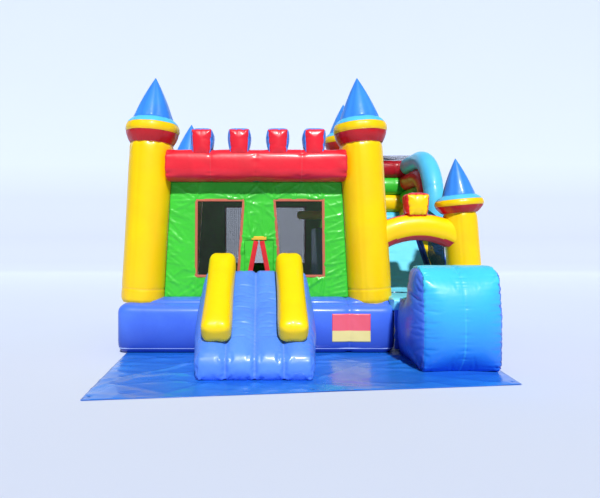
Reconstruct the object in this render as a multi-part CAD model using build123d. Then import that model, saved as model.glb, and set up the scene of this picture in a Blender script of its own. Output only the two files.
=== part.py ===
from build123d import *
import os
from math import atan, atan2, cos, degrees, pi, radians, sin, sqrt, tan

# Inflatable castle with an entrance ramp on its front and a slide along its right side.
# Millimetres. Origin on the ground under the centre of the square castle base,
# +X to the right, +Y to the back, +Z up. Every air chamber is a closed hollow skin.

os.makedirs("parts", exist_ok=True)

# Fabric and clearances
SKIN = 5.0                # thickness that stands for the coated fabric of a chamber
CLOTH = 5.0               # thickness of a single hanging panel
GAP = 0.6                 # clearance between sewn neighbours
SHEET = 4.0               # ground sheet

# Castle
CASTLE = 3960.0           # side of the square base
BASE_TOP = 760.0
BASE_EDGE = 120.0         # rounding of the base
FLOOR_LEFT, FLOOR_RIGHT = -1360.0, 1060.0
FLOOR_HALF = 1360.0       # half length of the bounce floor, front to back
FLOOR_TOP = 745.0
FLOOR_TRAVEL = 120.0      # how far the bounce floor may sink
COLUMN_R = 323.0
LEAN = 3.3                # degrees that the front towers lean inwards
FRONT_Y, BACK_Y = -1560.0, 1670.0
WALL_Y = -1600.0          # plane of the front wall
BEAM_R, BEAM_Z = 230.0, 2720.0
SIDE_BEAM_R, SIDE_BEAM_Z = 215.0, 2840.0
FRONT_BEAM_Y = -1670.0

# Tower heads: widest radius, heights of collar, crown, shoulder and spire, spire's foot radius
CASTLE_HEAD = (390.0, 165.0, 126.0, 80.0, 625.0, 300.0)
SLIDE_HEAD = (343.0, 108.0, 91.0, 68.0, 555.0, 240.0)
CROWN_TAPER, TIP_R = 12.0, 10.0

# Door and windows of the front wall
DOOR_X, DOOR_HALF, DOOR_TOP = 40.0, 210.0, 1615.0
WINDOW_LOW, WINDOW_HIGH = 1080.0, 2216.0
BINDING = 40.0            # width of the webbing round an opening
FLAP_SLOPE = 0.187        # sideways run of a flap's free edge per unit of drop

# Entrance ramp
RAMP_W, RAMP_FRONT, RAMP_LIP = 1350.0, -3460.0, 260.0
RAMP_CREST_Y, RAMP_CREST_L, RAMP_TOP = -2150.0, 150.0, 1170.0
RAMP_BACK, RAMP_SILL = -1665.0, 60.0
RAIL_W, RAIL_H, RAIL_L, RAIL_X = 350.0, 300.0, 1450.0, 455.0

# Slide
LANE_LEFT, LANE_RIGHT, SIDE_RIGHT = 1985.0, 2950.0, 3300.0
PLATFORM_TOP, PLATFORM_FRONT, LANDING_TOP = 1850.0, 400.0, 800.0
SLIDE_ANGLE = 41.0
SIDE_RISE = 120.0         # side wall above the bed
SLIDE_BACK = 1980.0
STOPPER_LEFT, STOPPER_RIGHT, STOPPER_TOP, STOPPER_FRONT = 2040.0, 3000.0, 1270.0, -3120.0
GUARD_R, GUARD_Y, GUARD_STEP = 176.0, 1680.0, 360.0
SIDE_X, SIDE_TUBE_R = 3130.0, 160.0
ARCH_CENTRE_Y, ARCH_CENTRE_Z, ARCH_R = 750.0, 2250.0, 900.0

# Blower
BLOWER_X, BLOWER_Y, BLOWER_Z = -900.0, 2820.0, 236.0
SCROLL_R, SCROLL_W, PLASTIC = 210.0, 240.0, 4.0
NOZZLE_R, NOZZLE_L, NOZZLE_DROP = 95.0, 120.0, 110.0
SHAFT_R = 8.0


def save(name, shape):
    """Writes one named piece, made of one or more solids."""
    solids = shape.solids() if hasattr(shape, "solids") else ShapeList(shape)
    whole = solids[0] if len(solids) == 1 else Compound(children=list(solids))
    export_step(whole, f"parts/{name}.step")


def solids_of(shapes):
    """All the solids of several shapes, as one flat list."""
    return ShapeList([solid for shape in shapes for solid in shape.solids()])


def block(low, high):
    """A box between two corners."""
    size = [b - a for a, b in zip(low, high)]
    middle = [(a + b) / 2 for a, b in zip(low, high)]
    return Pos(*middle) * Box(*size)


def pillow(low, high, edge, skin=SKIN):
    """A hollow air chamber between two corners, with rounded edges."""
    outer = block(low, high)
    inner = block([a + skin for a in low], [b - skin for b in high])
    return fillet(outer.edges(), edge) - fillet(inner.edges(), edge - skin)


def rounded_outline(points, radii):
    """A closed outline in (Y, Z) whose corners are rounded by the given radii."""
    face = make_face(Polyline(*points, close=True))
    for point, radius in zip(points, radii):
        if radius:
            corner = face.vertices().sort_by_distance((point[0], point[1], 0))[0]
            face = fillet(corner, radius)
    return face


def side_profile(face, left, right):
    """Stands a (Y, Z) outline up and extrudes it from left to right along X."""
    stood = Plane.YZ.offset(left) * face
    return extrude(stood, amount=right - left, dir=(1, 0, 0))


def side_pair(points, radii, left, right):
    """The outside and the hollow of a chamber of constant section across X."""
    face = rounded_outline(points, radii)
    inner = offset(face, amount=-SKIN, kind=Kind.INTERSECTION)
    return side_profile(face, left, right), side_profile(inner, left + SKIN, right - SKIN)


def side_chamber(points, radii, left, right):
    """A hollow chamber of constant section across X."""
    outer, inner = side_pair(points, radii, left, right)
    return outer - inner


def front_panel(points, y, thickness=CLOTH):
    """A flat panel whose (X, Z) outline stands in a plane across Y, centred on y."""
    face = make_face(Polyline(*points, close=True))
    stood = Plane.XZ.offset(-y) * face
    return extrude(stood, amount=thickness / 2, both=True)


def side_panel(points, x, thickness=CLOTH):
    """A flat panel whose (Y, Z) outline stands in a plane across X, centred on x."""
    face = make_face(Polyline(*points, close=True))
    return side_profile(face, x - thickness / 2, x + thickness / 2)


def band(bottom_r, top_r, height):
    """A hollow closed band of a tower, standing on z = 0."""
    if bottom_r == top_r:
        outer = Cylinder(bottom_r, height)
        inner = Cylinder(bottom_r - SKIN, height - 2 * SKIN)
        return Pos(0, 0, height / 2) * (outer - inner)
    flare = (top_r - bottom_r) / height
    level_skin = SKIN * sqrt(1 + flare ** 2)
    inner_bottom = bottom_r + flare * SKIN - level_skin
    inner_top = top_r - flare * SKIN - level_skin
    inner_h = height - 2 * SKIN
    if inner_top < 1:
        inner_h = (inner_bottom - 1) / -flare
        inner_top = 1
    outer = Pos(0, 0, height / 2) * Cone(bottom_r, top_r, height)
    return outer - Pos(0, 0, SKIN + inner_h / 2) * Cone(inner_bottom, inner_top, inner_h)


def tube(length, radius, skin=SKIN, edge=60.0):
    """A hollow sausage along X, centred on the origin, with rounded ends."""
    outer = Cylinder(radius, length)
    outer = fillet(outer.edges().filter_by(GeomType.CIRCLE), edge)
    inner = Cylinder(radius - skin, length - 2 * skin)
    inner = fillet(inner.edges().filter_by(GeomType.CIRCLE), edge - skin)
    return Rot(0, 90, 0) * (outer - inner)


def bent_tube(path, radius):
    """A hollow tube along a path of lines and arcs, closed at both ends."""
    start = path @ 0
    section = Plane(origin=start, z_dir=path % 0) * Circle(radius)
    bore_path = path.trim(SKIN / path.length, 1 - SKIN / path.length)
    bore_section = Plane(origin=bore_path @ 0, z_dir=bore_path % 0) * Circle(radius - SKIN)
    return sweep(section, path=path) - sweep(bore_section, path=bore_path)


# ---------------------------------------------------------------- ground sheet
SHEET_OUTLINE = [(-1750, -4200), (2990, -3610), (3450, 2200), (-2050, 2200)]
EYELETS = [(-1690, -4080), (640, -3800), (2920, -3510), (3380, 2120), (700, 2120), (-1970, 2120)]
EYELET_BORE, EYELET_NECK, EYELET_RIM, EYELET_RIM_T = 10.0, 12.0, 20.0, 1.5
EYELET_FIT = 0.2          # radial clearance of an eyelet's neck in its hole

ground_sheet = extrude(make_face(Polyline(*SHEET_OUTLINE, close=True)), amount=SHEET)
for x, y in EYELETS:
    ground_sheet -= Pos(x, y, SHEET / 2) * Cylinder(EYELET_NECK + EYELET_FIT, SHEET * 2)
save("ground_sheet", ground_sheet)


def eyelet(x, y):
    """A brass ring whose neck fills a hole of the sheet and whose rim lies on it."""
    neck_h = SHEET + EYELET_FIT / 2
    neck = Pos(0, 0, neck_h / 2) * Cylinder(EYELET_NECK, neck_h)
    rim = Pos(0, 0, neck_h + EYELET_RIM_T / 2) * Cylinder(EYELET_RIM, EYELET_RIM_T)
    return Pos(x, y, 0) * (neck + rim - Cylinder(EYELET_BORE, SHEET * 6))


save("sheet_eyelets", solids_of(eyelet(x, y) for x, y in EYELETS))

# ---------------------------------------------------------------- castle base and floor
HALF = CASTLE / 2
GROUND = SHEET + GAP
opening = block((FLOOR_LEFT, -FLOOR_HALF, 0), (FLOOR_RIGHT, FLOOR_HALF, 2 * BASE_TOP))
lining = block(
    (FLOOR_LEFT - SKIN, -FLOOR_HALF - SKIN, 0),
    (FLOOR_RIGHT + SKIN, FLOOR_HALF + SKIN, 2 * BASE_TOP),
)
base_outer = fillet(block((-HALF, -HALF, GROUND), (HALF, HALF, BASE_TOP)).edges(), BASE_EDGE)
base_inner = block(
    (-HALF + SKIN, -HALF + SKIN, GROUND + SKIN), (HALF - SKIN, HALF - SKIN, BASE_TOP - SKIN)
)
base_inner = fillet(base_inner.edges(), BASE_EDGE - SKIN)
save("castle_base", (base_outer - opening) - (base_inner - lining))

FLOOR_CLEAR = 8.0         # side clearance of the floor cell
floor_low = (FLOOR_LEFT + FLOOR_CLEAR, -FLOOR_HALF + FLOOR_CLEAR, GROUND + FLOOR_TRAVEL + 10)
floor_high = (FLOOR_RIGHT - FLOOR_CLEAR, FLOOR_HALF - FLOOR_CLEAR, FLOOR_TOP)
save("bounce_floor", pillow(floor_low, floor_high, 40))

BAFFLES = 5
BAFFLE_CLEAR = 12.0       # between a web's edge and the cell's skin
pitch = (floor_high[0] - floor_low[0]) / (BAFFLES + 1)
webs = []
for index in range(BAFFLES):
    x = floor_low[0] + pitch * (index + 1)
    low = (x - CLOTH / 2, floor_low[1] + 150, floor_low[2] + SKIN + BAFFLE_CLEAR)
    high = (x + CLOTH / 2, floor_high[1] - 150, floor_high[2] - SKIN - BAFFLE_CLEAR)
    webs.append(block(low, high))
save("floor_baffles", solids_of(webs))

# Blank two-tone panel on the front of the base
PATCH_X, PATCH_Z, PATCH_W, PATCH_H, PATCH_T = 1355.0, 370.0, 547.0, 400.0, 3.0
save("colour_patch", block(
    (PATCH_X - PATCH_W / 2, -HALF - GAP - PATCH_T, PATCH_Z - PATCH_H / 2),
    (PATCH_X + PATCH_W / 2, -HALF - GAP, PATCH_Z + PATCH_H / 2),
))

# ---------------------------------------------------------------- towers
# name: foot x, foot y, radius, column height, lean towards +X in degrees
TOWERS = {
    "front_left": (-1700.0, FRONT_Y, COLUMN_R, 2300.0, LEAN),
    "front_right": (1700.0, FRONT_Y, COLUMN_R, 2300.0, -LEAN),
    "back_left": (-1590.0, BACK_Y, COLUMN_R, 2300.0, LEAN),
    "back_right": (1800.0, BACK_Y, COLUMN_R, 2720.0, 0.0),
    "slide": (3165.0, -1530.0, 250.0, 1270.0, -4.5),
}


def tower_place(name):
    """Where a tower's own frame stands, just clear of the base under its leaning foot."""
    x, y, radius, _, lean = TOWERS[name]
    lift = radius * sin(radians(abs(lean))) + GAP
    return Pos(x, y, BASE_TOP + lift) * Rot(0, lean, 0)


def tower_x(name, z):
    """X of a tower's axis at a height."""
    return TOWERS[name][0] + (z - BASE_TOP) * tan(radians(TOWERS[name][4]))


def tower_keepout(name, extra):
    """A solid round a tower's column, used to cut what meets it."""
    _, _, radius, height, _ = TOWERS[name]
    return tower_place(name) * Pos(0, 0, height / 2 - 1) * Cylinder(radius + extra, height)


def cleared(outer, inner, towers):
    """A hollow chamber cut back so that it stays clear of some towers."""
    for name in towers:
        outer -= tower_keepout(name, 2 * GAP)
        inner -= tower_keepout(name, 2 * GAP + SKIN)
    return outer - inner


collars, crowns, shoulders, spires = [], [], [], []
for name, (_, _, radius, height, lean) in TOWERS.items():
    place = tower_place(name)
    head_r, collar_h, crown_h, shoulder_h, spire_h, spire_r = SLIDE_HEAD if name == "slide" else CASTLE_HEAD
    z = height - radius * sin(radians(abs(lean))) - GAP
    save(f"{name}_column", place * band(radius, radius, z))
    z += GAP
    collars.append(place * Pos(0, 0, z) * band(radius, head_r, collar_h))
    z += collar_h + GAP
    crowns.append(place * Pos(0, 0, z) * band(head_r, head_r - CROWN_TAPER, crown_h))
    z += crown_h + GAP
    shoulders.append(place * Pos(0, 0, z) * band(head_r - CROWN_TAPER, spire_r, shoulder_h))
    z += shoulder_h + GAP
    spires.append(place * Pos(0, 0, z) * band(spire_r, TIP_R, spire_h))
save("tower_collars", solids_of(collars))
save("tower_crowns", solids_of(crowns))
save("tower_shoulders", solids_of(shoulders))
save("tower_spires", solids_of(spires))

# ---------------------------------------------------------------- beams and merlons
WALL_FOOT = BASE_TOP + 2.0
WALL_HEAD = BEAM_Z - BEAM_R - GAP


def beam_between(first, second, z, radius, y=None):
    """A sausage between two towers at one height."""
    ax, ay = tower_x(first, z), TOWERS[first][1] if y is None else y
    bx, by = tower_x(second, z), TOWERS[second][1] if y is None else y
    span = Vector(bx - ax, by - ay, 0)
    clear = radius * tan(radians(LEAN)) + GAP
    length = span.length - TOWERS[first][2] - TOWERS[second][2] - 2 * clear
    heading = degrees(atan2(span.Y, span.X))
    return Pos((ax + bx) / 2, (ay + by) / 2, z) * Rot(0, 0, heading) * tube(length, radius)


front_beam = beam_between("front_left", "front_right", BEAM_Z, BEAM_R, FRONT_BEAM_Y)
save("front_beam", front_beam)
save("back_beam", beam_between("back_left", "back_right", BEAM_Z, BEAM_R))
save("left_beam", beam_between("front_left", "back_left", BEAM_Z, BEAM_R))
save("right_beam", beam_between("front_right", "back_right", SIDE_BEAM_Z, SIDE_BEAM_R))

MERLON_XS = (-790.0, -246.0, 315.0, 848.0)
MERLON_FOOT_W, MERLON_TOP_W, MERLON_D, MERLON_TOP = 250.0, 300.0, 320.0, 3228.0
MERLON_Y = FRONT_BEAM_Y - 40.0
MERLON_SINK = 100.0       # how far a merlon's skirt reaches down round the beam


def wedge_block(x, y, low, high, foot_w, top_w, depth):
    """A block that is wider at its top than at its foot."""
    outline = [
        (x - foot_w / 2, low), (x + foot_w / 2, low), (x + top_w / 2, high), (x - top_w / 2, high)
    ]
    return front_panel(outline, y, depth)


def merlon(x):
    """One battlement that sits astride the front beam."""
    low = BEAM_Z + BEAM_R - MERLON_SINK
    beam_line = Pos(x, FRONT_BEAM_Y, BEAM_Z) * Rot(0, 90, 0)
    outer = wedge_block(x, MERLON_Y, low, MERLON_TOP, MERLON_FOOT_W, MERLON_TOP_W, MERLON_D)
    outer -= beam_line * Cylinder(BEAM_R + GAP, 2 * MERLON_TOP_W)
    inner = wedge_block(
        x, MERLON_Y, low, MERLON_TOP - SKIN, MERLON_FOOT_W - 2 * SKIN, MERLON_TOP_W - 2 * SKIN,
        MERLON_D - 2 * SKIN,
    )
    inner -= beam_line * Cylinder(BEAM_R + GAP + SKIN, 2 * MERLON_TOP_W)
    inner -= block((x - MERLON_TOP_W, -HALF, 0), (x + MERLON_TOP_W, 0, low + SKIN))
    return outer - inner


SLIDE_MERLON_X, SLIDE_MERLON_Y = 2395.0, -1560.0
SLIDE_MERLON_LOW, SLIDE_MERLON_HIGH = 1985.0, 2300.0
SLIDE_MERLON_SIZE = (270.0, 330.0, 300.0)
slide_merlon = wedge_block(
    SLIDE_MERLON_X, SLIDE_MERLON_Y, SLIDE_MERLON_LOW, SLIDE_MERLON_HIGH, *SLIDE_MERLON_SIZE
)
slide_merlon -= wedge_block(
    SLIDE_MERLON_X, SLIDE_MERLON_Y, SLIDE_MERLON_LOW + SKIN, SLIDE_MERLON_HIGH - SKIN,
    *(size - 2 * SKIN for size in SLIDE_MERLON_SIZE),
)
save("merlons", solids_of([merlon(x) for x in MERLON_XS] + [slide_merlon]))

# ---------------------------------------------------------------- walls, windows, door
SEAM = 4.0                # clearance between a wall panel and a column


def front_edge(name, z, side, y):
    """X at which a panel in plane y stops short of a column, at height z."""
    radius = TOWERS[name][2]
    reach = (radius ** 2 - (y - TOWERS[name][1]) ** 2) ** 0.5
    return tower_x(name, z) + side * (reach / cos(radians(LEAN)) + SEAM)


windows = {
    "left": [(-900, WINDOW_LOW), (-270, WINDOW_LOW), (-190, WINDOW_HIGH), (-895, WINDOW_HIGH)],
    "right": [(350, WINDOW_LOW), (1010, WINDOW_LOW), (1000, WINDOW_HIGH), (270, WINDOW_HIGH)],
}
BACK_WALL_Y = 1640.0
back_window = [(-690, 1120), (1000, 1120), (1000, 2320), (-690, 2320)]


def grown(points, amount):
    """A four-sided opening made larger on every side."""
    middle_x = sum(point[0] for point in points) / 4
    middle_z = sum(point[1] for point in points) / 4
    return [
        (x + (amount if x > middle_x else -amount), z + (amount if z > middle_z else -amount))
        for x, z in points
    ]


front_wall = front_panel([
    (front_edge("front_left", WALL_FOOT, 1, WALL_Y), WALL_FOOT),
    (front_edge("front_right", WALL_FOOT, -1, WALL_Y), WALL_FOOT),
    (front_edge("front_right", WALL_HEAD, -1, WALL_Y), WALL_HEAD),
    (front_edge("front_left", WALL_HEAD, 1, WALL_Y), WALL_HEAD),
], WALL_Y)
for outline in windows.values():
    front_wall -= front_panel(outline, WALL_Y, 60)
front_wall -= block(
    (DOOR_X - DOOR_HALF, WALL_Y - 50, 0), (DOOR_X + DOOR_HALF, WALL_Y + 50, DOOR_TOP)
)
save("front_wall", front_wall)

back_wall = front_panel([
    (front_edge("back_left", WALL_FOOT, 1, BACK_WALL_Y), WALL_FOOT),
    (front_edge("back_right", WALL_FOOT, -1, BACK_WALL_Y), WALL_FOOT),
    (front_edge("back_right", WALL_HEAD, -1, BACK_WALL_Y), WALL_HEAD),
    (front_edge("back_left", WALL_HEAD, 1, BACK_WALL_Y), WALL_HEAD),
], BACK_WALL_Y)
back_wall -= front_panel(back_window, BACK_WALL_Y, 60)
save("back_wall", back_wall)

MESH_T, LAP = 2.0, 20.0
mesh_y = WALL_Y + CLOTH / 2 + GAP + MESH_T / 2
meshes = [front_panel(grown(outline, LAP), mesh_y, MESH_T) for outline in windows.values()]
door_clear = block(
    (DOOR_X - DOOR_HALF - 12, WALL_Y - 50, 0), (DOOR_X + DOOR_HALF + 12, WALL_Y + 50, DOOR_TOP + 12)
)
meshes = [mesh - door_clear for mesh in meshes]
back_mesh_y = BACK_WALL_Y - CLOTH / 2 - GAP - MESH_T / 2
meshes.append(front_panel(grown(back_window, LAP), back_mesh_y, MESH_T))
save("window_meshes", solids_of(meshes))

BINDING_T = 3.0
bind_y = WALL_Y - CLOTH / 2 - GAP - BINDING_T / 2
bindings = []
for outline in windows.values():
    ring = front_panel(grown(outline, BINDING / 2), bind_y, BINDING_T)
    bindings.append(ring - front_panel(grown(outline, -BINDING / 2), bind_y, BINDING_T * 4))
back_bind_y = BACK_WALL_Y + CLOTH / 2 + GAP + BINDING_T / 2
ring = front_panel(grown(back_window, BINDING / 2), back_bind_y, BINDING_T)
bindings.append(ring - front_panel(grown(back_window, -BINDING / 2), back_bind_y, BINDING_T * 4))
save("window_bindings", solids_of(bindings))

# Door flaps hang from the sides of the doorway and part below the tab
FLAP_CLEAR, FLAP_MEET = 6.0, 8.0
flap_top, flap_foot = DOOR_TOP - FLAP_CLEAR, BASE_TOP + FLAP_CLEAR
for name, side in (("left", -1), ("right", 1)):
    hinge = DOOR_X + side * (DOOR_HALF - FLAP_CLEAR)
    meet = DOOR_X + side * FLAP_MEET
    parted = DOOR_X + side * (FLAP_MEET + FLAP_SLOPE * (flap_top - flap_foot))
    outline = [(hinge, flap_foot), (parted, flap_foot), (meet, flap_top), (hinge, flap_top)]
    save(f"door_flap_{name}", front_panel(outline, WALL_Y))
TAB_W, TAB_H = 220.0, 56.0
save("door_tab", block(
    (DOOR_X - TAB_W / 2, WALL_Y - CLOTH / 2 - GAP - BINDING_T, DOOR_TOP + 4),
    (DOOR_X + TAB_W / 2, WALL_Y - CLOTH / 2 - GAP, DOOR_TOP + 4 + TAB_H),
))

# Side walls follow the lean of the towers on the left and stand upright on the right
left_span_y = (FRONT_Y + COLUMN_R + SEAM, BACK_Y - COLUMN_R - SEAM)
left_shift = (TOWERS["back_left"][0] - TOWERS["front_left"][0]) / (BACK_Y - FRONT_Y)
left_plane = Plane(
    origin=(TOWERS["front_left"][0], FRONT_Y, BASE_TOP),
    x_dir=(left_shift, 1, 0),
    z_dir=Vector(left_shift, 1, 0).cross(Vector(tan(radians(LEAN)), 0, 1)),
)
left_width = left_span_y[1] - left_span_y[0]
left_outline = [
    (COLUMN_R + SEAM, 2), (COLUMN_R + SEAM + left_width, 2),
    (COLUMN_R + SEAM + left_width, WALL_HEAD - BASE_TOP), (COLUMN_R + SEAM, WALL_HEAD - BASE_TOP),
]
left_face = left_plane * make_face(Polyline(*left_outline, close=True))
save("left_wall", extrude(left_face, amount=CLOTH / 2, both=True))

RIGHT_WALL_X, RIGHT_WALL_END = 1640.0, -90.0
RIGHT_WALL_HEAD = SIDE_BEAM_Z - SIDE_BEAM_R - GAP
right_start = FRONT_Y + COLUMN_R + SEAM
save("right_wall", side_panel([
    (right_start, WALL_FOOT), (RIGHT_WALL_END, WALL_FOOT),
    (RIGHT_WALL_END, RIGHT_WALL_HEAD), (right_start, RIGHT_WALL_HEAD),
], RIGHT_WALL_X))

ROOF_Z, ROOF_LEFT, ROOF_RIGHT, ROOF_HALF_L = 2700.0, -1235.0, 1410.0, 1430.0
roof = block((ROOF_LEFT, -ROOF_HALF_L, ROOF_Z), (ROOF_RIGHT, ROOF_HALF_L, ROOF_Z + CLOTH))
for name in ("front_left", "front_right", "back_left", "back_right"):
    roof -= tower_keepout(name, SEAM)
save("castle_roof", roof)

# ---------------------------------------------------------------- entrance ramp
ramp_slope = atan((RAMP_TOP - RAMP_LIP) / (RAMP_CREST_Y - RAMP_FRONT))
ramp_points = [
    (RAMP_FRONT, GROUND), (RAMP_FRONT, RAMP_LIP), (RAMP_CREST_Y, RAMP_TOP),
    (RAMP_CREST_Y + RAMP_CREST_L, RAMP_TOP), (RAMP_BACK, BASE_TOP + RAMP_SILL),
    (RAMP_BACK, BASE_TOP + GAP), (-HALF - GAP, BASE_TOP + GAP), (-HALF - GAP, GROUND),
]
ramp_radii = [35, 110, 150, 130, 20, 10, 0, 20]
save("entrance_ramp", side_chamber(ramp_points, ramp_radii, -RAMP_W / 2, RAMP_W / 2))

RAIL_START, RAIL_LIFT, RAIL_EDGE = -3270.0, 2.0, 95.0
rail_place = Pos(0, RAIL_START, RAMP_LIP + (RAIL_START - RAMP_FRONT) * tan(ramp_slope))
rail_place *= Rot(degrees(ramp_slope), 0, 0)
for name, side in (("left", -1), ("right", 1)):
    rail_x = side * RAIL_X
    low = (rail_x - RAIL_W / 2, 0, RAIL_LIFT)
    high = (rail_x + RAIL_W / 2, RAIL_L, RAIL_LIFT + RAIL_H)
    save(f"ramp_rail_{name}", rail_place * pillow(low, high, RAIL_EDGE))

# ---------------------------------------------------------------- slide
slope = tan(radians(SLIDE_ANGLE))
SLOPE_FOOT = PLATFORM_FRONT - (PLATFORM_TOP - LANDING_TOP) / slope
slide_points = [
    (-HALF, GROUND), (-HALF, LANDING_TOP), (SLOPE_FOOT, LANDING_TOP),
    (PLATFORM_FRONT, PLATFORM_TOP), (SLIDE_BACK, PLATFORM_TOP), (SLIDE_BACK, GROUND),
]
slide_radii = [40, 20, 400, 80, 60, 60]
slide_outer, slide_inner = side_pair(slide_points, slide_radii, LANE_LEFT, LANE_RIGHT)
save("slide_body", cleared(slide_outer, slide_inner, ("front_right", "back_right", "slide")))

BED_T, BED_LIFT = 5.0, 2.0
BED_END, BED_TOP_END = -1150.0, PLATFORM_FRONT + 500


def bed_z(y):
    """Height of the slide's upper surface."""
    return min(PLATFORM_TOP, max(LANDING_TOP, PLATFORM_TOP - (PLATFORM_FRONT - y) * slope))


def above_bed(lift):
    """Everything over the slide's upper surface raised by lift, as a (Y, Z) outline."""
    high = PLATFORM_TOP * 2
    points = [
        (BED_END, LANDING_TOP + lift), (SLOPE_FOOT, LANDING_TOP + lift),
        (PLATFORM_FRONT, PLATFORM_TOP + lift), (BED_TOP_END, PLATFORM_TOP + lift),
        (BED_TOP_END, high), (BED_END, high),
    ]
    return rounded_outline(points, [0, 390, 82, 0, 0, 0])


bed_section = above_bed(BED_LIFT) - above_bed(BED_LIFT + BED_T)
save("slide_bed", side_profile(bed_section, LANE_LEFT + 4, LANE_RIGHT - 4))

WALL_START, LEFT_END = -1210.0, -100.0
side_low = WALL_START + 20
right_wall_points = [
    (-HALF, GROUND), (-HALF, BASE_TOP), (WALL_START, BASE_TOP), (side_low, LANDING_TOP + SIDE_RISE),
    (SLOPE_FOOT, LANDING_TOP + SIDE_RISE), (PLATFORM_FRONT, PLATFORM_TOP + SIDE_RISE),
    (SLIDE_BACK, PLATFORM_TOP + SIDE_RISE), (SLIDE_BACK, GROUND),
]
left_wall_points = [
    (WALL_START, BASE_TOP + GAP), (side_low, LANDING_TOP + SIDE_RISE),
    (SLOPE_FOOT, LANDING_TOP + SIDE_RISE), (LEFT_END, bed_z(LEFT_END) + SIDE_RISE),
    (LEFT_END, BASE_TOP + GAP),
]
LEFT_SIDE_X = 1760.0
side_walls = [
    side_chamber(right_wall_points, [40, 40, 0, 0, 100, 60, 60, 60], LANE_RIGHT + GAP, SIDE_RIGHT),
    side_chamber(left_wall_points, [0, 0, 100, 30, 0], LEFT_SIDE_X, LANE_LEFT - GAP),
]
save("slide_side_walls", solids_of(side_walls))

SLIDE_RAIL_R = 80.0


def slope_rail(x, start, end):
    """A sausage that lies along the slope on top of a side wall."""
    low = Vector(x, start, bed_z(start) + SIDE_RISE)
    high = Vector(x, end, bed_z(end) + SIDE_RISE)
    middle = (low + high) * 0.5
    length = (high - low).length
    lift = Pos(0, 0, SLIDE_RAIL_R + RAIL_LIFT)
    lying = lift * Rot(0, 0, 90) * tube(length, SLIDE_RAIL_R, edge=SLIDE_RAIL_R / 2)
    return Pos(*middle) * Rot(SLIDE_ANGLE, 0, 0) * lying


rails = [
    slope_rail(LANE_RIGHT + 110, SLOPE_FOOT + 30, -400),
    slope_rail(LANE_LEFT - 110, SLOPE_FOOT + 30, LEFT_END - 40),
]
save("slide_rails", solids_of(rails))

# Landing with its raised end wall
stopper_points = [
    (-HALF - GAP, GROUND), (STOPPER_FRONT + 30, GROUND), (STOPPER_FRONT, 620),
    (STOPPER_FRONT + 80, STOPPER_TOP), (STOPPER_FRONT + 600, STOPPER_TOP),
    (STOPPER_FRONT + 770, LANDING_TOP), (-HALF - GAP, LANDING_TOP),
]
stopper_radii = [0, 90, 900, 240, 230, 220, 0]
save("slide_stopper", side_chamber(stopper_points, stopper_radii, STOPPER_LEFT, STOPPER_RIGHT))

# Arch over the foot of the slide
ARCH_LEFT, ARCH_RIGHT, ARCH_Y, ARCH_D = 1940.0, 2900.0, -1530.0, 400.0
ARCH_OVER_END, ARCH_OVER_MIDDLE = 1870.0, 1980.0
ARCH_UNDER_END, ARCH_UNDER_MIDDLE = 1470.0, 1600.0


def arch_solid(inset):
    """The arch between the castle and the slide tower, shrunk all round by inset."""
    left, right = ARCH_LEFT + inset, ARCH_RIGHT - inset
    middle = (left + right) / 2
    over_end, under_end = ARCH_OVER_END - inset, ARCH_UNDER_END + inset
    over = ThreePointArc((left, over_end), (middle, ARCH_OVER_MIDDLE - inset), (right, over_end))
    under = ThreePointArc((right, under_end), (middle, ARCH_UNDER_MIDDLE + inset), (left, under_end))
    sides = Line(over @ 1, under @ 0) + Line(under @ 1, over @ 0)
    face = make_face(Wire(over.edges() + under.edges() + sides.edges()))
    stood = Plane.XZ.offset(-ARCH_Y) * face
    return extrude(stood, amount=ARCH_D / 2 - inset, both=True)


save("slide_arch", cleared(arch_solid(0), arch_solid(SKIN), ("front_right", "slide")))

# Guard wall behind and beside the platform
GUARD_LEFT, GUARD_RIGHT = 2130.0, 2945.0
GUARD_TOP_Z = 3110.0


def guard_bar(level):
    """One of the stacked bars behind the platform, counted down from the top."""
    z = GUARD_TOP_Z - level * GUARD_STEP
    return Pos((GUARD_LEFT + GUARD_RIGHT) / 2, GUARD_Y, z) * tube(GUARD_RIGHT - GUARD_LEFT, GUARD_R)


def side_bow(radius, tube_r, back, foot):
    """A tube of the side wall: level at the back, then a quarter bow down to its foot."""
    top = ARCH_CENTRE_Z + radius
    front = ARCH_CENTRE_Y - radius
    level = Line((SIDE_X, back, top), (SIDE_X, ARCH_CENTRE_Y, top))
    mid = (
        SIDE_X, ARCH_CENTRE_Y - radius * cos(pi / 4), ARCH_CENTRE_Z + radius * sin(pi / 4)
    )
    bow = ThreePointArc(level @ 1, mid, (SIDE_X, front, ARCH_CENTRE_Z))
    drop = Line(bow @ 1, (SIDE_X, front, foot))
    return bent_tube(Wire([level.edge(), bow.edge(), drop.edge()]), tube_r)


BOW_PITCH, BOW_BACK = 330.0, 1840.0
CYAN_FOOT, RED_FOOT, GREEN_FOOT, YELLOW_SIDE_Z = 1660.0, 1985.0, 2140.0, 2150.0
save("guard_cyan", solids_of([guard_bar(3), side_bow(ARCH_R, SIDE_TUBE_R, BOW_BACK, CYAN_FOOT)]))
red_bow = side_bow(ARCH_R - BOW_PITCH, SIDE_TUBE_R, BOW_BACK, RED_FOOT)
save("guard_red", solids_of([guard_bar(0), red_bow]))
green_bow = side_bow(ARCH_R - 2 * BOW_PITCH, SIDE_TUBE_R, BOW_BACK, GREEN_FOOT)
save("guard_green", solids_of([guard_bar(1), green_bow]))
yellow_side = Pos(SIDE_X, (ARCH_CENTRE_Y + BOW_BACK) / 2, YELLOW_SIDE_Z) * Rot(0, 0, 90)
yellow_side *= tube(BOW_BACK - ARCH_CENTRE_Y, SIDE_TUBE_R)
save("guard_yellow", solids_of([guard_bar(2), yellow_side]))
NET_Z, NET_FRONT, NET_RIGHT = 3320.0, 1150.0, 3110.0
save("slide_net", block((GUARD_LEFT, NET_FRONT, NET_Z), (NET_RIGHT, BOW_BACK, NET_Z + MESH_T)))

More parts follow.
